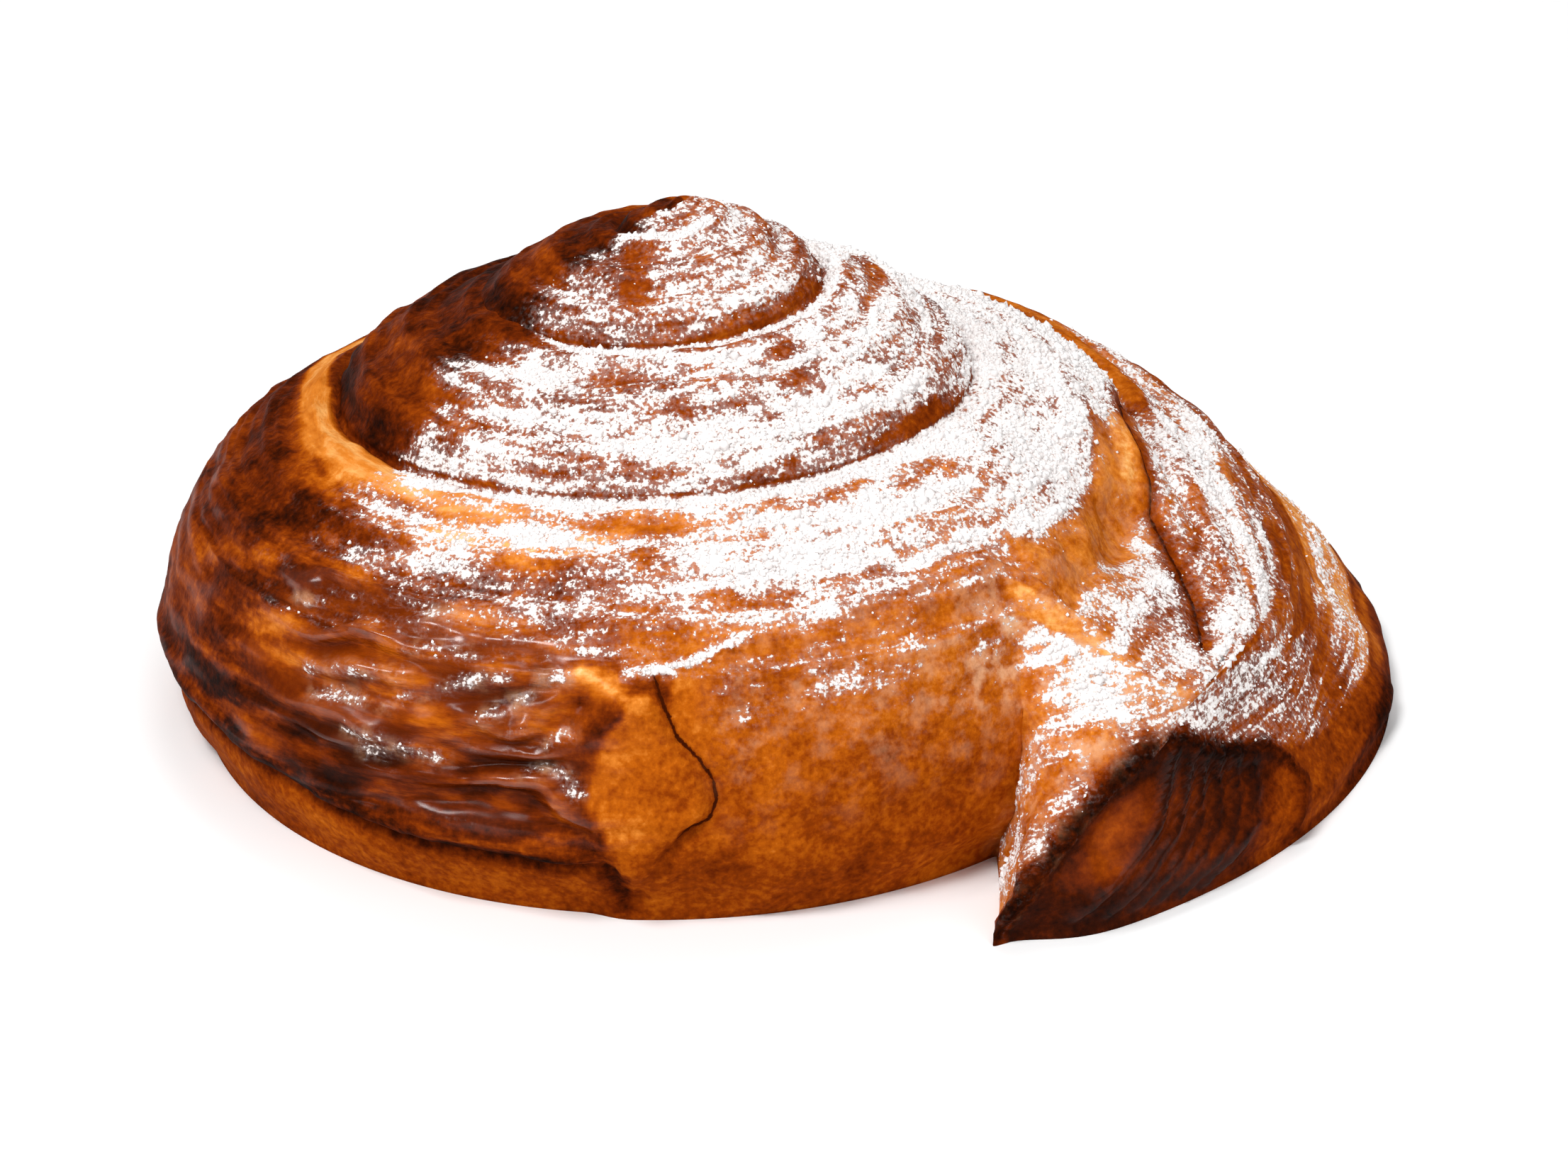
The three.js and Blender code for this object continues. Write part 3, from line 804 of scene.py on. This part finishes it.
bake = bake - 0.1 * wall_patch((3.50, 3.56), (0.0, 0.2), 0.02, 0.08)
print("front wall baked to", round(float(bake[front > 0.9].mean()), 2))

# %% [markdown]
# The thin tail has burnt: its lip and its pleats are nearly black, and its right end is burnt dark with
# painted shade on its lower side. Where it tore away from the body, pale crumb shows, and the fold above the
# valley has a gap darkened with painted shade under an orange rim.

# %% Browning of the tail, with painted shade
BURNT_AND_SHADED_FROM = [(4.15, 0.0), (4.18, -0.06), (4.2, -0.36)]
FAN_TOP = [(4.20, 0.5), (4.225, 0.34), (4.247, 0.25), (4.258, 0.19), (TURNS, 0.17)]
crumb = 0.06 * rough(skin / 2)
# Burnt crust and painted shade: the right end of the tail is darkened on its lower side.
burnt_and_shaded_end = eased(0.52, 0.62, down + looked_up(BURNT_AND_SHADED_FROM, turn) + 0.05 * mottled)
fan_top = looked_up(FAN_TOP, turn) + 0.02 * mottled
fan = on_wall * eased(4.216, 4.224, turn) * eased(-0.02, 0.04, down - fan_top)
fan_lines = np.clip(pleats + 0.6 * bell(down - fan_top - 0.05, 0.06), 0, 1)
beyond_fold = eased(0, 0.04, across - looked_up(FOLD_CRACK, turn))
beyond_fold = on_strip * within(3.135, 3.258, 0.008, turn) * beyond_fold
bake = laid(mix, bake, [
    ("wall of the tail", 0.62 + 0.12 * mottled, on_wall * eased(4.02, 4.1, turn)),
    ("tan patch", 0.31 + crumb, wall_patch((4.11, 4.175), (0.0, 0.42), 0.015, 0.06)),
    ("burnt and shaded right end", 0.86 + 0.08 * mottled, on_wall * within(4.12, 4.2, 0.015, turn) * burnt_and_shaded_end),
    ("torn walls", 0.40 + 0.08 * mottled, np.maximum(tail_wall, end_face)),
    ("crumb at the fold", 0.26 + crumb, strip_patch((3.172, 3.196), (0.62, 0.84), 0.01, 0.05)),
    ("crumb at the shelf", 0.24 + crumb, strip_patch((3.289, 3.300), (0.82, 1.0), 0.008, 0.05)),
    ("beyond the fold", 0.50 + 0.06 * mottled, beyond_fold),
    # Painted shade: the gap under the fold is darkened.
    ("painted shade in the gap under the fold", 0.74, 0.8 * fold_gap),
    ("orange rim", 0.42, 0.9 * rim),
    ("fan", 0.76 + 0.08 * mottled, fan),
    ("pleats and top of the fan", 0.96, fan * fan_lines),
    ("hollow beside the lip", 0.56 + 0.1 * mottled, 0.9 * hollow * fan),
    ("foot of the fan", 0.90, fan * eased(0.62, 0.78, down) * eased(4.236, 4.25, turn)),
    ("burnt lip", 0.97, burnt_lip),
    ("second ridge", 0.90, 0.9 * second_ridge)])
print("fan baked to", round(float(bake[fan > 0.9].mean()), 2))

# %% [markdown]
# ## Where the sugar fell
# Sugar was shaken over the front right half. It stays on gentle slopes, gathers as thick white lines
# on the ledge outside each groove, and leaves the steep lips and a patch of the eye nearly bare. The
# number is the share of the surface that it covers; noise along the layers breaks it into streaks. Two
# tables say how much lies on each turn, and how far across the strip it reaches.

# %% Sugar on the turns
BODY_SHARE = [(1.15, 0.37), (1.4, 0.36), (2.0, 0.52), (2.4, 0.50), (2.6, 0.42), (2.85, 0.54), (2.95, 0.76),
              (3.27, 0.72), (3.33, 0.58), (3.40, 0.46), (3.46, 0.38), (3.55, 0.28)]
REACHES_TO = [(3.10, 1.00), (3.15, 0.66), (3.20, 0.48), (3.28, 0.46), (3.31, 0.64), (3.34, 0.70),
              (3.37, 0.76), (3.42, 0.72), (3.50, 0.64), (3.60, 0.50)]
BARE_PATCH = [(1.51, 0.25), (1.49, 0.45), (1.47, 0.62)]
flurry = 0.75 * rough(streaks(12, 1.4, 9)) + 0.25 * rough(skin / 3)
far = np.where(turn > 3.6, 46, 64)
on_eye = 1 - eased(1.55, 1.8, turn)
side = eased(-156, -130, compass + 12 * on_eye + 8 * rough(skin / 5) + 10 * flurry)
side = side * (1 - eased(-16, 16, compass - far + 8 * rough(skin / 8)))
bare_lip = open_strip * eased(0.84, 0.9, across) * within(-75, -28, 15, compass) * (turn < 2.9)
past_reach = across - looked_up(REACHES_TO, turn) + 0.05 * mottled + 0.12 * flurry
edge_of_fall = 1 - eased(-0.06, 0.14, past_reach)
covered = mix(0.16, 0.18, last) + looked_up(BODY_SHARE, turn) * edge_of_fall * (1 - 0.85 * bare_lip)
outer_line = bell(1 - across, 0.035) * (turn < LAST_TURN - 0.1) * eased(-140, -110, compass)
white_line = np.maximum(bell(across - 0.06 - 0.02 * flurry, 0.07), outer_line) * eased(1.15, 1.35, turn)
covered = np.maximum(covered, 1.1 * white_line) - 0.2 * last * within(0.13, 0.2, 0.03, across)
sugar = side * on_strip * (covered + mix(0.52, 0.3, on_eye) * flurry)
sugar = sugar * (1 - 0.75 * drawn(BARE_PATCH, top_point, 2.1))
print("sugared share of the strip:", round(float(sugar[on_strip > 0].mean()), 3))

# %% [markdown]
# The tail was under the same fall: its top, its shelf and the face at its end are white, and the wall
# between them is nearly bare. On the roll's wall only some sugar stuck, to the upper front, to the crests of
# the folds, where the film also stands for painted highlights, and to a ridge above the tongue. There the
# larger value counts: sugar never hides sugar.

# %% Sugar on the tail and the wall
TAIL_INNER = [(4.05, 0.3), (4.12, 0.0)]


def heap(value, level, mask):
    """The larger of the value so far and the level times its mask."""
    return np.maximum(value, level * mask)


tail_top = on_strip * eased(4.02, 4.1, turn)
on_tail = within(looked_up(TAIL_INNER, turn), 0.55, 0.1, across)
ragged = 0.014 * rough(skin / 3)
shelf = on_strip * within(3.208, 3.284, 0.012, turn + ragged)
shelf = shelf * eased(0.64, 0.72, across + 2 * ragged) * (1 - beyond_fold)
upper_end = 1 - eased(0.1, 0.35, down)
sugar = laid(mix, sugar, [
    ("sugar on top of the tail", 0.48 * on_tail + 0.1 + 0.5 * flurry, tail_top * side),
    ("sugar beyond the fold", 0.52 + 0.5 * flurry, beyond_fold),
    ("sugar on the tail's wall", 0.06 + 0.25 * flurry, tail_wall),
    ("sugar on the shelf", 0.58 + 0.55 * flurry, shelf),
    ("sugar on the end face", 0.42 + 0.24 * upper_end + 0.45 * rough(skin / 3), end_face)])
tail_shoulder = on_wall * eased(4.19, 4.21, turn) * (1 - eased(-0.04, 0.01, down - fan_top))
upper_front = on_wall * within(3.3, 3.395, 0.02, turn) * (1 - eased(0.05, 0.4, down))
crests = eased(0.1, 0.8, folds + 0.6 * ripples)
sparse = eased(0, 0.5, lumps(streaks(7, 4, 5)))
# Painted highlights: on the folds and their highest crests the sugar film also stands for glints of light.
sugar = laid(heap, sugar, [
    ("sugar on the tail's shoulder", 0.5 + 0.4 * flurry, tail_shoulder),
    ("sugar on the tan patch", 0.46 + 0.4 * flurry, wall_patch((4.10, 4.18), (0.0, 0.42), 0.02, 0.08)),
    ("sugar on the upper front", 0.22 + 0.2 * flurry + 0.4 * rough(skin / 3.5), upper_front),
    ("sugar and painted glints on the folds", 0.12 + 0.4 * flurry, draped * crests * sparse * eased(3.45, 3.47, turn)),
    ("sugar and painted glints on the highest crests", 0.44 + 0.45 * rough(skin / 1.6), sugared_glints),
    ("sugar on the ridge", 0.95, sugar_ridge)])
print("sugared share of the wall:", round(float(sugar[on_wall > 0].mean()), 3))

# %% [markdown]
# Sugar slides off steep crust unless the crust is rough or was wet, and none is left on the fan and the burnt
# rims. Below the fall hangs a cloud of the finest dust, which only makes the front wall and the tail paler.
# On the sugared crests of the folds the same pale flecks are a painted sheen.

# %% Bare slopes, the finest dust and the painted sheen
gentle = eased(0.0, 0.35, outwards[:, 2])
sugar = np.clip(sugar * np.maximum.reduce([gentle, end_face, tail_shoulder, draped, sugared_glints]), 0, 1)
sugar = sugar * (1 - 0.9 * burnt_lip) * (1 - fan) * (1 - 0.8 * fold_gap) * (1 - 0.95 * rim)
dust_and_sheen = on_wall * (1.2 - 1.2 * eased(0.05, 0.7, down + 0.15 * rough(skin / 6)))
dust_and_sheen = dust_and_sheen + 0.6 * last_strip * eased(0.6, 0.8, across)
dust_and_sheen = dust_and_sheen * within(3.29, 3.395, 0.02, turn) * (1 - tongue) * (1.9 - 1.2 * eased(3.305, 3.345, turn))
# Painted sheen: on the sugared crests of the folds the pale flecks stand for glints of light; elsewhere they
# are dust.
dust_and_sheen = np.maximum.reduce([dust_and_sheen, 0.5 * tail_wall, 0.8 * end_face * (1 - burnt_lip), sugared_glints])
print("sugared share of the skin:", round(float(sugar.mean()), 3))

# %% [markdown]
# ## Gloss, glaze and fibres
# Egg wash makes the left side shine, and where it ran thin the crust shows through in orange patches. It
# stands thickest on the crests of the folds and on the pleats, which get a clear coat. The front wall, the
# tail and everything under sugar are dull. Long fibres show on the strip, along its layers. All of these
# could be guessed inside the material from the browning, but as numbers of their own they are easier to tune.

# %% Gloss, glaze and fibres from 0 to 1
glazed_crust = glazed * (1 - below_edge) * (1 - hidden)
gloss = 0.2 + 0.25 * np.maximum(glazed_crust, left * inner)
gloss = np.maximum(gloss, 0.95 * draped)
gloss = mix(gloss, 0.6, fan)
fibres = (on_strip + on_wall * mix(1, 0.08, eased(0, 0.12, down))) * (1 + 1.2 * hidden)
patchy = np.maximum(glazed_crust * (1 - 0.5 * past_folds), 0.5 * left * inner)
glaze = np.maximum(draped * (0.08 + 0.9 * crests), fan * (0.04 + 0.2 * pleats))
glaze = np.maximum(glaze, 0.6 * sugared_glints) * (1 - eased(0.2, 0.5, sugar))
print("glossy share:", round(float((gloss > 0.6).mean()), 3))

# %% [markdown]
# ## The mesh
# The arrays go into one mesh in one go, which is far quicker than adding points one by one. Browning with its
# painted light and shade, sugar with its painted glints, dust and sheen, gloss, glaze, patches, fibres and
# the distance to a crack ride along as attributes, one number a point. The UV map holds distance along the
# strip and across it, in decimetres, so that a material can draw streaks that follow the dough round the
# spiral; a shared groove keeps both neighbours' values.

# %% Build the roll
DECIMETRE = 100


def new_piece(name, position, faces, smooth=True):
    """A mesh object at the origin, from points in millimetres and each face's corner numbers."""
    mesh = bpy.data.meshes.new(name)
    mesh.from_pydata((position * MM).tolist(), [], faces)
    mesh.polygons.foreach_set("use_smooth", np.full(len(mesh.polygons), smooth))
    mesh.update()
    piece = bpy.data.objects.new(name, mesh)
    bpy.context.scene.collection.objects.link(piece)
    return piece


roll = new_piece("roll_crust", skin, quads.tolist() + triangles.tolist() + [underside.tolist()])
roll.data.polygons[-1].use_smooth = False
carried = {"bake": bake, "sugar": sugar, "gloss": gloss, "fibres": fibres, "patchy": patchy, "glaze": glaze,
           "dust_and_sheen": dust_and_sheen, "crack_near": crack_near, "crack_side": crack_side}
for name, values in carried.items():
    attribute = roll.data.attributes.new(name, "FLOAT", "POINT")
    attribute.data.foreach_set("value", values.astype(np.float32))
across_strip = strip_across * np.maximum(width_at(strip_turn), 0)
down_wall = width_at(wall_turn) + WALL_HEIGHT * wall_down
grid_uv = np.stack([flat(arc(strip_turn), arc(wall_turn)), flat(across_strip, down_wall)], 1) / DECIMETRE
dough_map = roll.data.uv_layers.new(name="dough")
dough_map.uv.foreach_set("vector", grid_uv[own_corners].ravel().astype(np.float32))
roll.data.update()
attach(roll, "root")
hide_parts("roll")
print("roll of", len(roll.data.polygons), "faces")

# %% [markdown]
# ## Node helpers
# A procedural material is a graph of nodes. It could be put together by hand in the shader editor; a script
# gives the same graph every time. Helpers keep it short: one starts a material and one adds a node to `tree`,
# the graph in hand, and wires or sets its inputs.

# %% Adding nodes
def new_material(name):
    """A material with nodes, its graph and its main shader."""
    material = bpy.data.materials.new(name)
    material.use_nodes = True
    return material, material.node_tree, material.node_tree.nodes["Principled BSDF"]


def wire(node, inputs):
    """Wires each input that is given a socket, and sets each that is given a number or colour."""
    for key, value in inputs.items():
        if isinstance(value, bpy.types.NodeSocket):
            tree.links.new(value, node.inputs[key])
        else:
            node.inputs[key].default_value = value


def add(kind, inputs, **settings):
    """Adds a node to the graph in hand, with its settings and its inputs."""
    node = tree.nodes.new(kind)
    for name, value in settings.items():
        setattr(node, name, value)
    wire(node, inputs)
    return node


crust, tree, shader = new_material("crust")
print("crust starts with", len(tree.nodes), "nodes")

# %% [markdown]
# Every sum in a material is a node too. These helpers read like arithmetic: `times`, `plus` and `minus` join
# two sockets or numbers, and `weighed` adds several with a weight each.

# %% Sums
def sums(operation, *values):
    """One step of arithmetic between sockets or numbers."""
    return add("ShaderNodeMath", dict(enumerate(values)), operation=operation).outputs[0]


def times(a, b):
    """a times b."""
    return sums("MULTIPLY", a, b)


def plus(a, b):
    """a plus b."""
    return sums("ADD", a, b)


def minus(a, b):
    """a less b."""
    return sums("SUBTRACT", a, b)


def weighed(*parts):
    """Sum of values times weights, given in pairs."""
    total = times(*parts[0])
    for value, weight in parts[1:]:
        total = plus(total, times(value, weight))
    return total


print("arithmetic helpers:", [helper.__name__ for helper in (times, plus, minus, weighed)])

# %% [markdown]
# `soft_step` and `noise` are the material's own soft steps and lumps. They work at every point that the light
# meets, so they can be far finer than the mesh. Three noises on Object coordinates, which stay with the roll
# when it moves, give specks, blotches and clouds.

# %% Soft steps and noises
NOISE_ROUGHNESS = 0.6


def soft_step(value, start, end):
    """0 at start and 1 at end, eased between them; start may be the larger."""
    return add("ShaderNodeMapRange", {"Value": value, "From Min": start, "From Max": end},
               interpolation_type="SMOOTHSTEP").outputs[0]


def noise(where, scale, detail):
    """A noise from 0 to 1 at a position, with its lumps about 1 / scale wide."""
    return add("ShaderNodeTexNoise", {"Vector": where, "Scale": scale, "Detail": detail,
                                      "Roughness": NOISE_ROUGHNESS}).outputs["Fac"]


object_place = add("ShaderNodeTexCoord", {}).outputs["Object"]
specks, blotches = noise(object_place, 1300, 4), noise(object_place, 240, 4)
clouds = noise(object_place, 85, 3)
print("noises with lumps of", [round(1000 / scale, 1) for scale in (1300, 240, 85)], "mm")

# %% [markdown]
# ## The crust's material
# Noises break up the browning: fine specks, blotches a few millimetres wide, fibres along the dough read
# from the UV map, and orange patches where the glaze is thin. The cracks come last: painted shade darkens the
# crust nearly to black where their signed distance is close to zero.

# %% How brown, point by point
dough_uv = add("ShaderNodeUVMap", {}, uv_map="dough").outputs["UV"]
read = {name: add("ShaderNodeAttribute", {}, attribute_name=name).outputs["Fac"] for name in carried}


def dough_noise(scale_along, scale_across, detail):
    """Noise in streaks that follow the dough: its lumps are 1 / scale decimetres long and wide."""
    stretched = add("ShaderNodeMapping", {"Vector": dough_uv, "Scale": (scale_along, scale_across, 1)})
    return noise(stretched.outputs[0], 1, detail)


grain = times(minus(dough_noise(16, 110, 4), 0.5), read["fibres"])
patches = times(soft_step(dough_noise(9, 24, 5), 0.42, 0.7), read["patchy"])
uneven = minus(weighed((specks, 0.5), (blotches, 0.3), (clouds, 0.35)), 0.575)
uneven = times(uneven, soft_step(read["gloss"], 1.2, 0.2))
uneven = times(uneven, soft_step(read["fibres"], 2.6, 1.2))
uneven = plus(uneven, times(grain, 0.24))
browned = minus(plus(read["bake"], uneven), times(patches, 0.34))
wander = times(minus(specks, 0.5), 0.6)
apart = plus(sums("ABSOLUTE", read["crack_side"]), wander)
cracked = times(soft_step(apart, 0.36, 0.06), soft_step(read["crack_near"], 0.1, 0.4))
# Painted shade in the cracks: the crust is darkened nearly to black along their line.
browned = sums("MAXIMUM", browned, times(cracked, 0.88))
print("browning from", len(tree.nodes), "nodes")

# %% [markdown]
# A colour ramp turns browning into colour, from cream crumb through orange to black. The colours are given
# as screen values, as a picture shows them, and turned into the light values that a shader works with.

# %% Crust colours
BROWNING = [(0.0, (250, 222, 180)), (0.15, (238, 172, 98)), (0.30, (212, 124, 42)), (0.45, (178, 88, 12)),
            (0.60, (138, 57, 6)), (0.75, (98, 34, 4)), (0.88, (58, 18, 3)), (1.0, (24, 8, 4))]


def light_value(red, green, blue):
    """Linear light from 0-255 screen colours, by the usual screen curve, with full alpha."""
    c = np.array([red, green, blue]) / 255
    linear = np.where(c <= 0.04045, c / 12.92, ((c + 0.055) / 1.055) ** 2.4)
    return (*linear.tolist(), 1.0)


def colour_ramp(share, stops):
    """Colour of a share: straight blends between stops, each a position and a screen colour."""
    ramp = add("ShaderNodeValToRGB", {"Fac": share})
    while len(ramp.color_ramp.elements) < len(stops):
        ramp.color_ramp.elements.new(0.5)
    for element, (position, colour) in zip(ramp.color_ramp.elements, stops):
        element.position = position
        element.color = light_value(*colour)
    return ramp.outputs[0]


crust_colour = colour_ramp(browned, BROWNING)
print("crust ramp of", len(BROWNING), "colours")

# %% [markdown]
# The finest sugar is a film of powder, far too small to model. It is drawn by comparing a grainy noise
# with the share of sugar: where the noise is lower, the surface is white. Round the film lies a thin dust,
# and under both lie warm pale flecks of the finest dust, which on the crests of the folds are a painted
# sheen.

# %% Sugar film, dust and painted sheen
THIN_SUGAR, SUGAR_WHITE = light_value(214, 200, 194), light_value(243, 238, 236)
DUST_AND_SHEEN_COLOUR = light_value(220, 164, 122)
MIX_SHARE, MIX_FIRST, MIX_SECOND, MIX_COLOUR = 0, 6, 7, 2


def blend(share, first, second):
    """Colour blend: the first colour at share 0 and the second at 1."""
    return add("ShaderNodeMix", {MIX_SHARE: share, MIX_FIRST: first, MIX_SECOND: second},
               data_type="RGBA").outputs[MIX_COLOUR]


powder, heaps, flow = noise(object_place, 2200, 2), noise(object_place, 800, 2), dough_noise(22, 100, 3)
threshold = weighed((powder, 0.42), (flow, 0.34), (heaps, 0.24))
threshold = add("ShaderNodeMapRange", {"Value": threshold, "From Min": 0.38, "From Max": 0.62,
                                       "To Min": 0.12}).outputs[0]
above = minus(read["sugar"], threshold)
film = soft_step(above, -0.03, 0.06)
sugared = blend(soft_step(above, 0.0, 0.3), THIN_SUGAR, SUGAR_WHITE)
dust = times(soft_step(above, -0.5, 0.1), times(read["sugar"], 0.5))
flecks = soft_step(noise(object_place, 420, 5), 0.44, 0.7)
# Warm pale flecks: dust below the fall, and a painted sheen on the crests of the folds.
dust_and_sheen_share = times(read["dust_and_sheen"], times(flecks, 0.55))
dusted = blend(dust, blend(dust_and_sheen_share, crust_colour, DUST_AND_SHEEN_COLOUR), THIN_SUGAR)
wire(shader, {"Base Color": blend(film, dusted, sugared)})
print("colour and sugar from", len(tree.nodes), "nodes")

# %% [markdown]
# Crust and film share one shader. Gloss makes it smoother and sugar rougher. Baked dough hardly mirrors
# anything, so its own reflection is almost off, and only the glaze adds a clear coat. Specks, fibres, grains
# and the glaze's wrinkles stand up as a bump of half a millimetre at most, and the cracks sink in.

# %% Roughness, glaze and bump
dull = minus(0.7, times(read["gloss"], 0.52))
dull = plus(dull, times(minus(blotches, 0.5), 0.25))
wrinkled = times(dough_noise(45, 150, 3), soft_step(read["gloss"], 0.5, 0.9))
height = weighed((specks, 0.5), (grain, 0.6), (film, 0.5), (wrinkled, 1.6), (cracked, -1))
bump = add("ShaderNodeBump", {"Height": height, "Strength": 0.5, "Distance": 0.0005}).outputs[0]
wire(shader, {"Roughness": sums("MAXIMUM", dull, times(film, 0.9)), "Specular IOR Level": 0.004,
              "Coat Weight": read["glaze"], "Coat Roughness": 0.2, "Normal": bump})
roll.data.materials.append(crust)
print("crust material of", len(tree.nodes), "nodes")

# %% [markdown]
# ## Sugar clumps
# On top of the film lie grains and clumps of grains, most of them 0.15 to 0.7 mm across. Thousands of
# separate objects would be slow, so all of them are one mesh, worked out as arrays: a triangle of the roll is
# drawn for each clump with a chance given by its area and its sugar, and the clump lies at a random spot on
# it. The random numbers start from a fixed seed, so every run gives the same sugar.

# %% Where the clumps lie
CLUMPS, SEED, GATHERING = 24000, 64, 3
chance = np.random.default_rng(SEED)
corner_a, corner_b, corner_c = (skin[half_faces[:, k]] for k in range(3))
side_b, side_c = corner_b - corner_a, corner_c - corner_a
face_normal = np.cross(side_b, side_c)
area = np.linalg.norm(face_normal, axis=1) / 2
cover = sugar[half_faces].mean(axis=1)
weight = area * cover**GATHERING
chosen = chance.choice(len(half_faces), CLUMPS, p=weight / weight.sum())
share_b, share_c = chance.random((2, CLUMPS))
over = share_b + share_c > 1
share_b, share_c = np.where(over, 1 - share_b, share_b), np.where(over, 1 - share_c, share_c)
spots = corner_a[chosen] + share_b[:, None] * side_b[chosen]
spots = spots + share_c[:, None] * side_c[chosen]
upwards = face_normal[chosen] / np.linalg.norm(face_normal[chosen], axis=1, keepdims=True)
print("sugared area about", int((area * cover).sum()), "mm2")

# %% [markdown]
# A clump is a small crystal with eight sides, stretched and turned at random and sunk a little into the
# crust. Crystals are larger where the sugar lies thick. A random turn is a random quaternion: four numbers
# that give an axis and an angle without favouring any direction.

# %% Crystals turned at random
OCTAHEDRON = np.array([[1, 0, 0], [-1, 0, 0], [0, 1, 0], [0, -1, 0], [0, 0, 1], [0, 0, -1]], float)
EIGHT_SIDES = np.array([[0, 2, 4], [2, 1, 4], [1, 3, 4], [3, 0, 4],
                        [2, 0, 5], [1, 2, 5], [3, 1, 5], [0, 3, 5]])
MIDDLE_RADIUS, RADIUS_SPREAD, LEAST_RADIUS, MOST_RADIUS = 0.14, 0.45, 0.07, 0.45
LEAST_STRETCH, MOST_STRETCH, SITS_UP = 0.7, 1.3, 0.15


def turned(quaternion):
    """Rotation matrices from unit quaternions w, x, y, z."""
    w, x, y, z = (quaternion / np.linalg.norm(quaternion, axis=1, keepdims=True)).T
    return np.stack([
        np.stack([1 - 2 * (y * y + z * z), 2 * (x * y - w * z), 2 * (x * z + w * y)], 1),
        np.stack([2 * (x * y + w * z), 1 - 2 * (x * x + z * z), 2 * (y * z - w * x)], 1),
        np.stack([2 * (x * z - w * y), 2 * (y * z + w * x), 1 - 2 * (x * x + y * y)], 1),
    ], 1)


radius = MIDDLE_RADIUS * np.exp(RADIUS_SPREAD * chance.standard_normal(CLUMPS))
radius = np.clip(radius, LEAST_RADIUS, MOST_RADIUS)
radius = radius * mix(0.7, 1.3, eased(0.4, 0.9, cover[chosen]))
sizes = radius[:, None] * chance.uniform(LEAST_STRETCH, MOST_STRETCH, (CLUMPS, 3))
turning = turned(chance.standard_normal((CLUMPS, 4)))
shapes = (OCTAHEDRON[None] * sizes[:, None]) @ turning.transpose(0, 2, 1)
centres = spots + upwards * (SITS_UP * radius)[:, None]
crystals = (centres[:, None] + shapes).reshape(-1, 3)
crystals[:, 2] = np.maximum(crystals[:, 2], 0)
crystal_faces = (EIGHT_SIDES[None] + 6 * np.arange(CLUMPS)[:, None, None]).reshape(-1, 3)
clumps = new_piece("sugar_clumps", crystals, crystal_faces.tolist())
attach(clumps, "root")
print("sugar of", len(clumps.data.polygons), "faces")

# %% [markdown]
# Real grains are clear, but a heap of them scatters light and looks white. Glass would need many bounces of
# light for each tiny crystal, so the crystals are plain white, and a fine noise makes some a shade greyer.

# %% Sugar material
GRAIN_TINTS = [(0.35, (230, 223, 221)), (0.6, (246, 243, 242))]
white, tree, shader = new_material("sugar")
grain_place = add("ShaderNodeTexCoord", {}).outputs["Object"]
wire(shader, {"Base Color": colour_ramp(noise(grain_place, 900, 2), GRAIN_TINTS), "Roughness": 0.55})
clumps.data.materials.append(white)
print("sugar material of", len(tree.nodes), "nodes")

# %% [markdown]
# ## Floor
# The roll lies on a plain pale floor, large enough to fill the picture, which throws soft light back up.

# %% Floor
FLOOR_HALF = 3000
floor_corners = np.array([(-1, -1, 0), (1, -1, 0), (1, 1, 0), (-1, 1, 0)]) * FLOOR_HALF
floor = new_piece("floor", floor_corners, [(0, 1, 2, 3)], smooth=False)
pale, tree, shader = new_material("pale_floor")
wire(shader, {"Base Color": light_value(248, 248, 248), "Roughness": 0.9})
floor.data.materials.append(pale)
print("floor of", 2 * FLOOR_HALF * MM, "m")

# %% [markdown]
# ## Light
# Four soft lights and an even light from all round, as near a window in a white room. The main light comes
# from the upper left in front, a fill from the right, a weak one from behind, and a small pane on the left
# draws the bright streaks on the glazed folds.

# %% Lights
from mathutils import Vector

LIGHTS = {"window": ((-0.25, -0.4, 0.8), 0.25, 5.5), "front_fill": ((0.5, -0.7, 0.5), 0.8, 4.0),
          "back_light": ((0.1, 0.45, 0.9), 0.6, 3.0), "left_pane": ((-0.68, -0.34, 0.58), 0.16, 2.2)}
LIT_POINT = (0, 0, 0.02)


def aimed(thing, position, target):
    """Sets an object down and turns its -Z axis to a target."""
    thing.location = position
    thing.rotation_euler = (Vector(target) - Vector(position)).to_track_quat("-Z", "Y").to_euler()
    bpy.context.scene.collection.objects.link(thing)


for name, (position, width, power) in LIGHTS.items():
    lamp = bpy.data.lights.new(name, "AREA")
    lamp.size, lamp.energy = width, power
    aimed(bpy.data.objects.new(name, lamp), position, LIT_POINT)
world = bpy.data.worlds.new("even_light")
world.use_nodes = True
world.node_tree.nodes["Background"].inputs["Color"].default_value = (1, 1, 1, 1)
world.node_tree.nodes["Background"].inputs["Strength"].default_value = 0.2
bpy.context.scene.world = world
bpy.context.scene.view_settings.view_transform = "Standard"
print("lights:", ", ".join(LIGHTS))

# %% [markdown]
# ## Camera
# The camera stands where the photo was taken from: in front, half a metre off, looking down at 30 degrees.

# %% Camera
CAMERA_PLACE, CAMERA_TARGET = (-0.0034, -0.4512, 0.260), (0.0005, 0.0032, 0.0070)
lens = bpy.data.cameras.new("camera")
lens.lens, lens.sensor_width, lens.clip_end = 117, 36, 20
camera = bpy.data.objects.new("camera", lens)
aimed(camera, CAMERA_PLACE, CAMERA_TARGET)
bpy.context.scene.camera = camera
print("camera at", [round(v, 3) for v in camera.location])
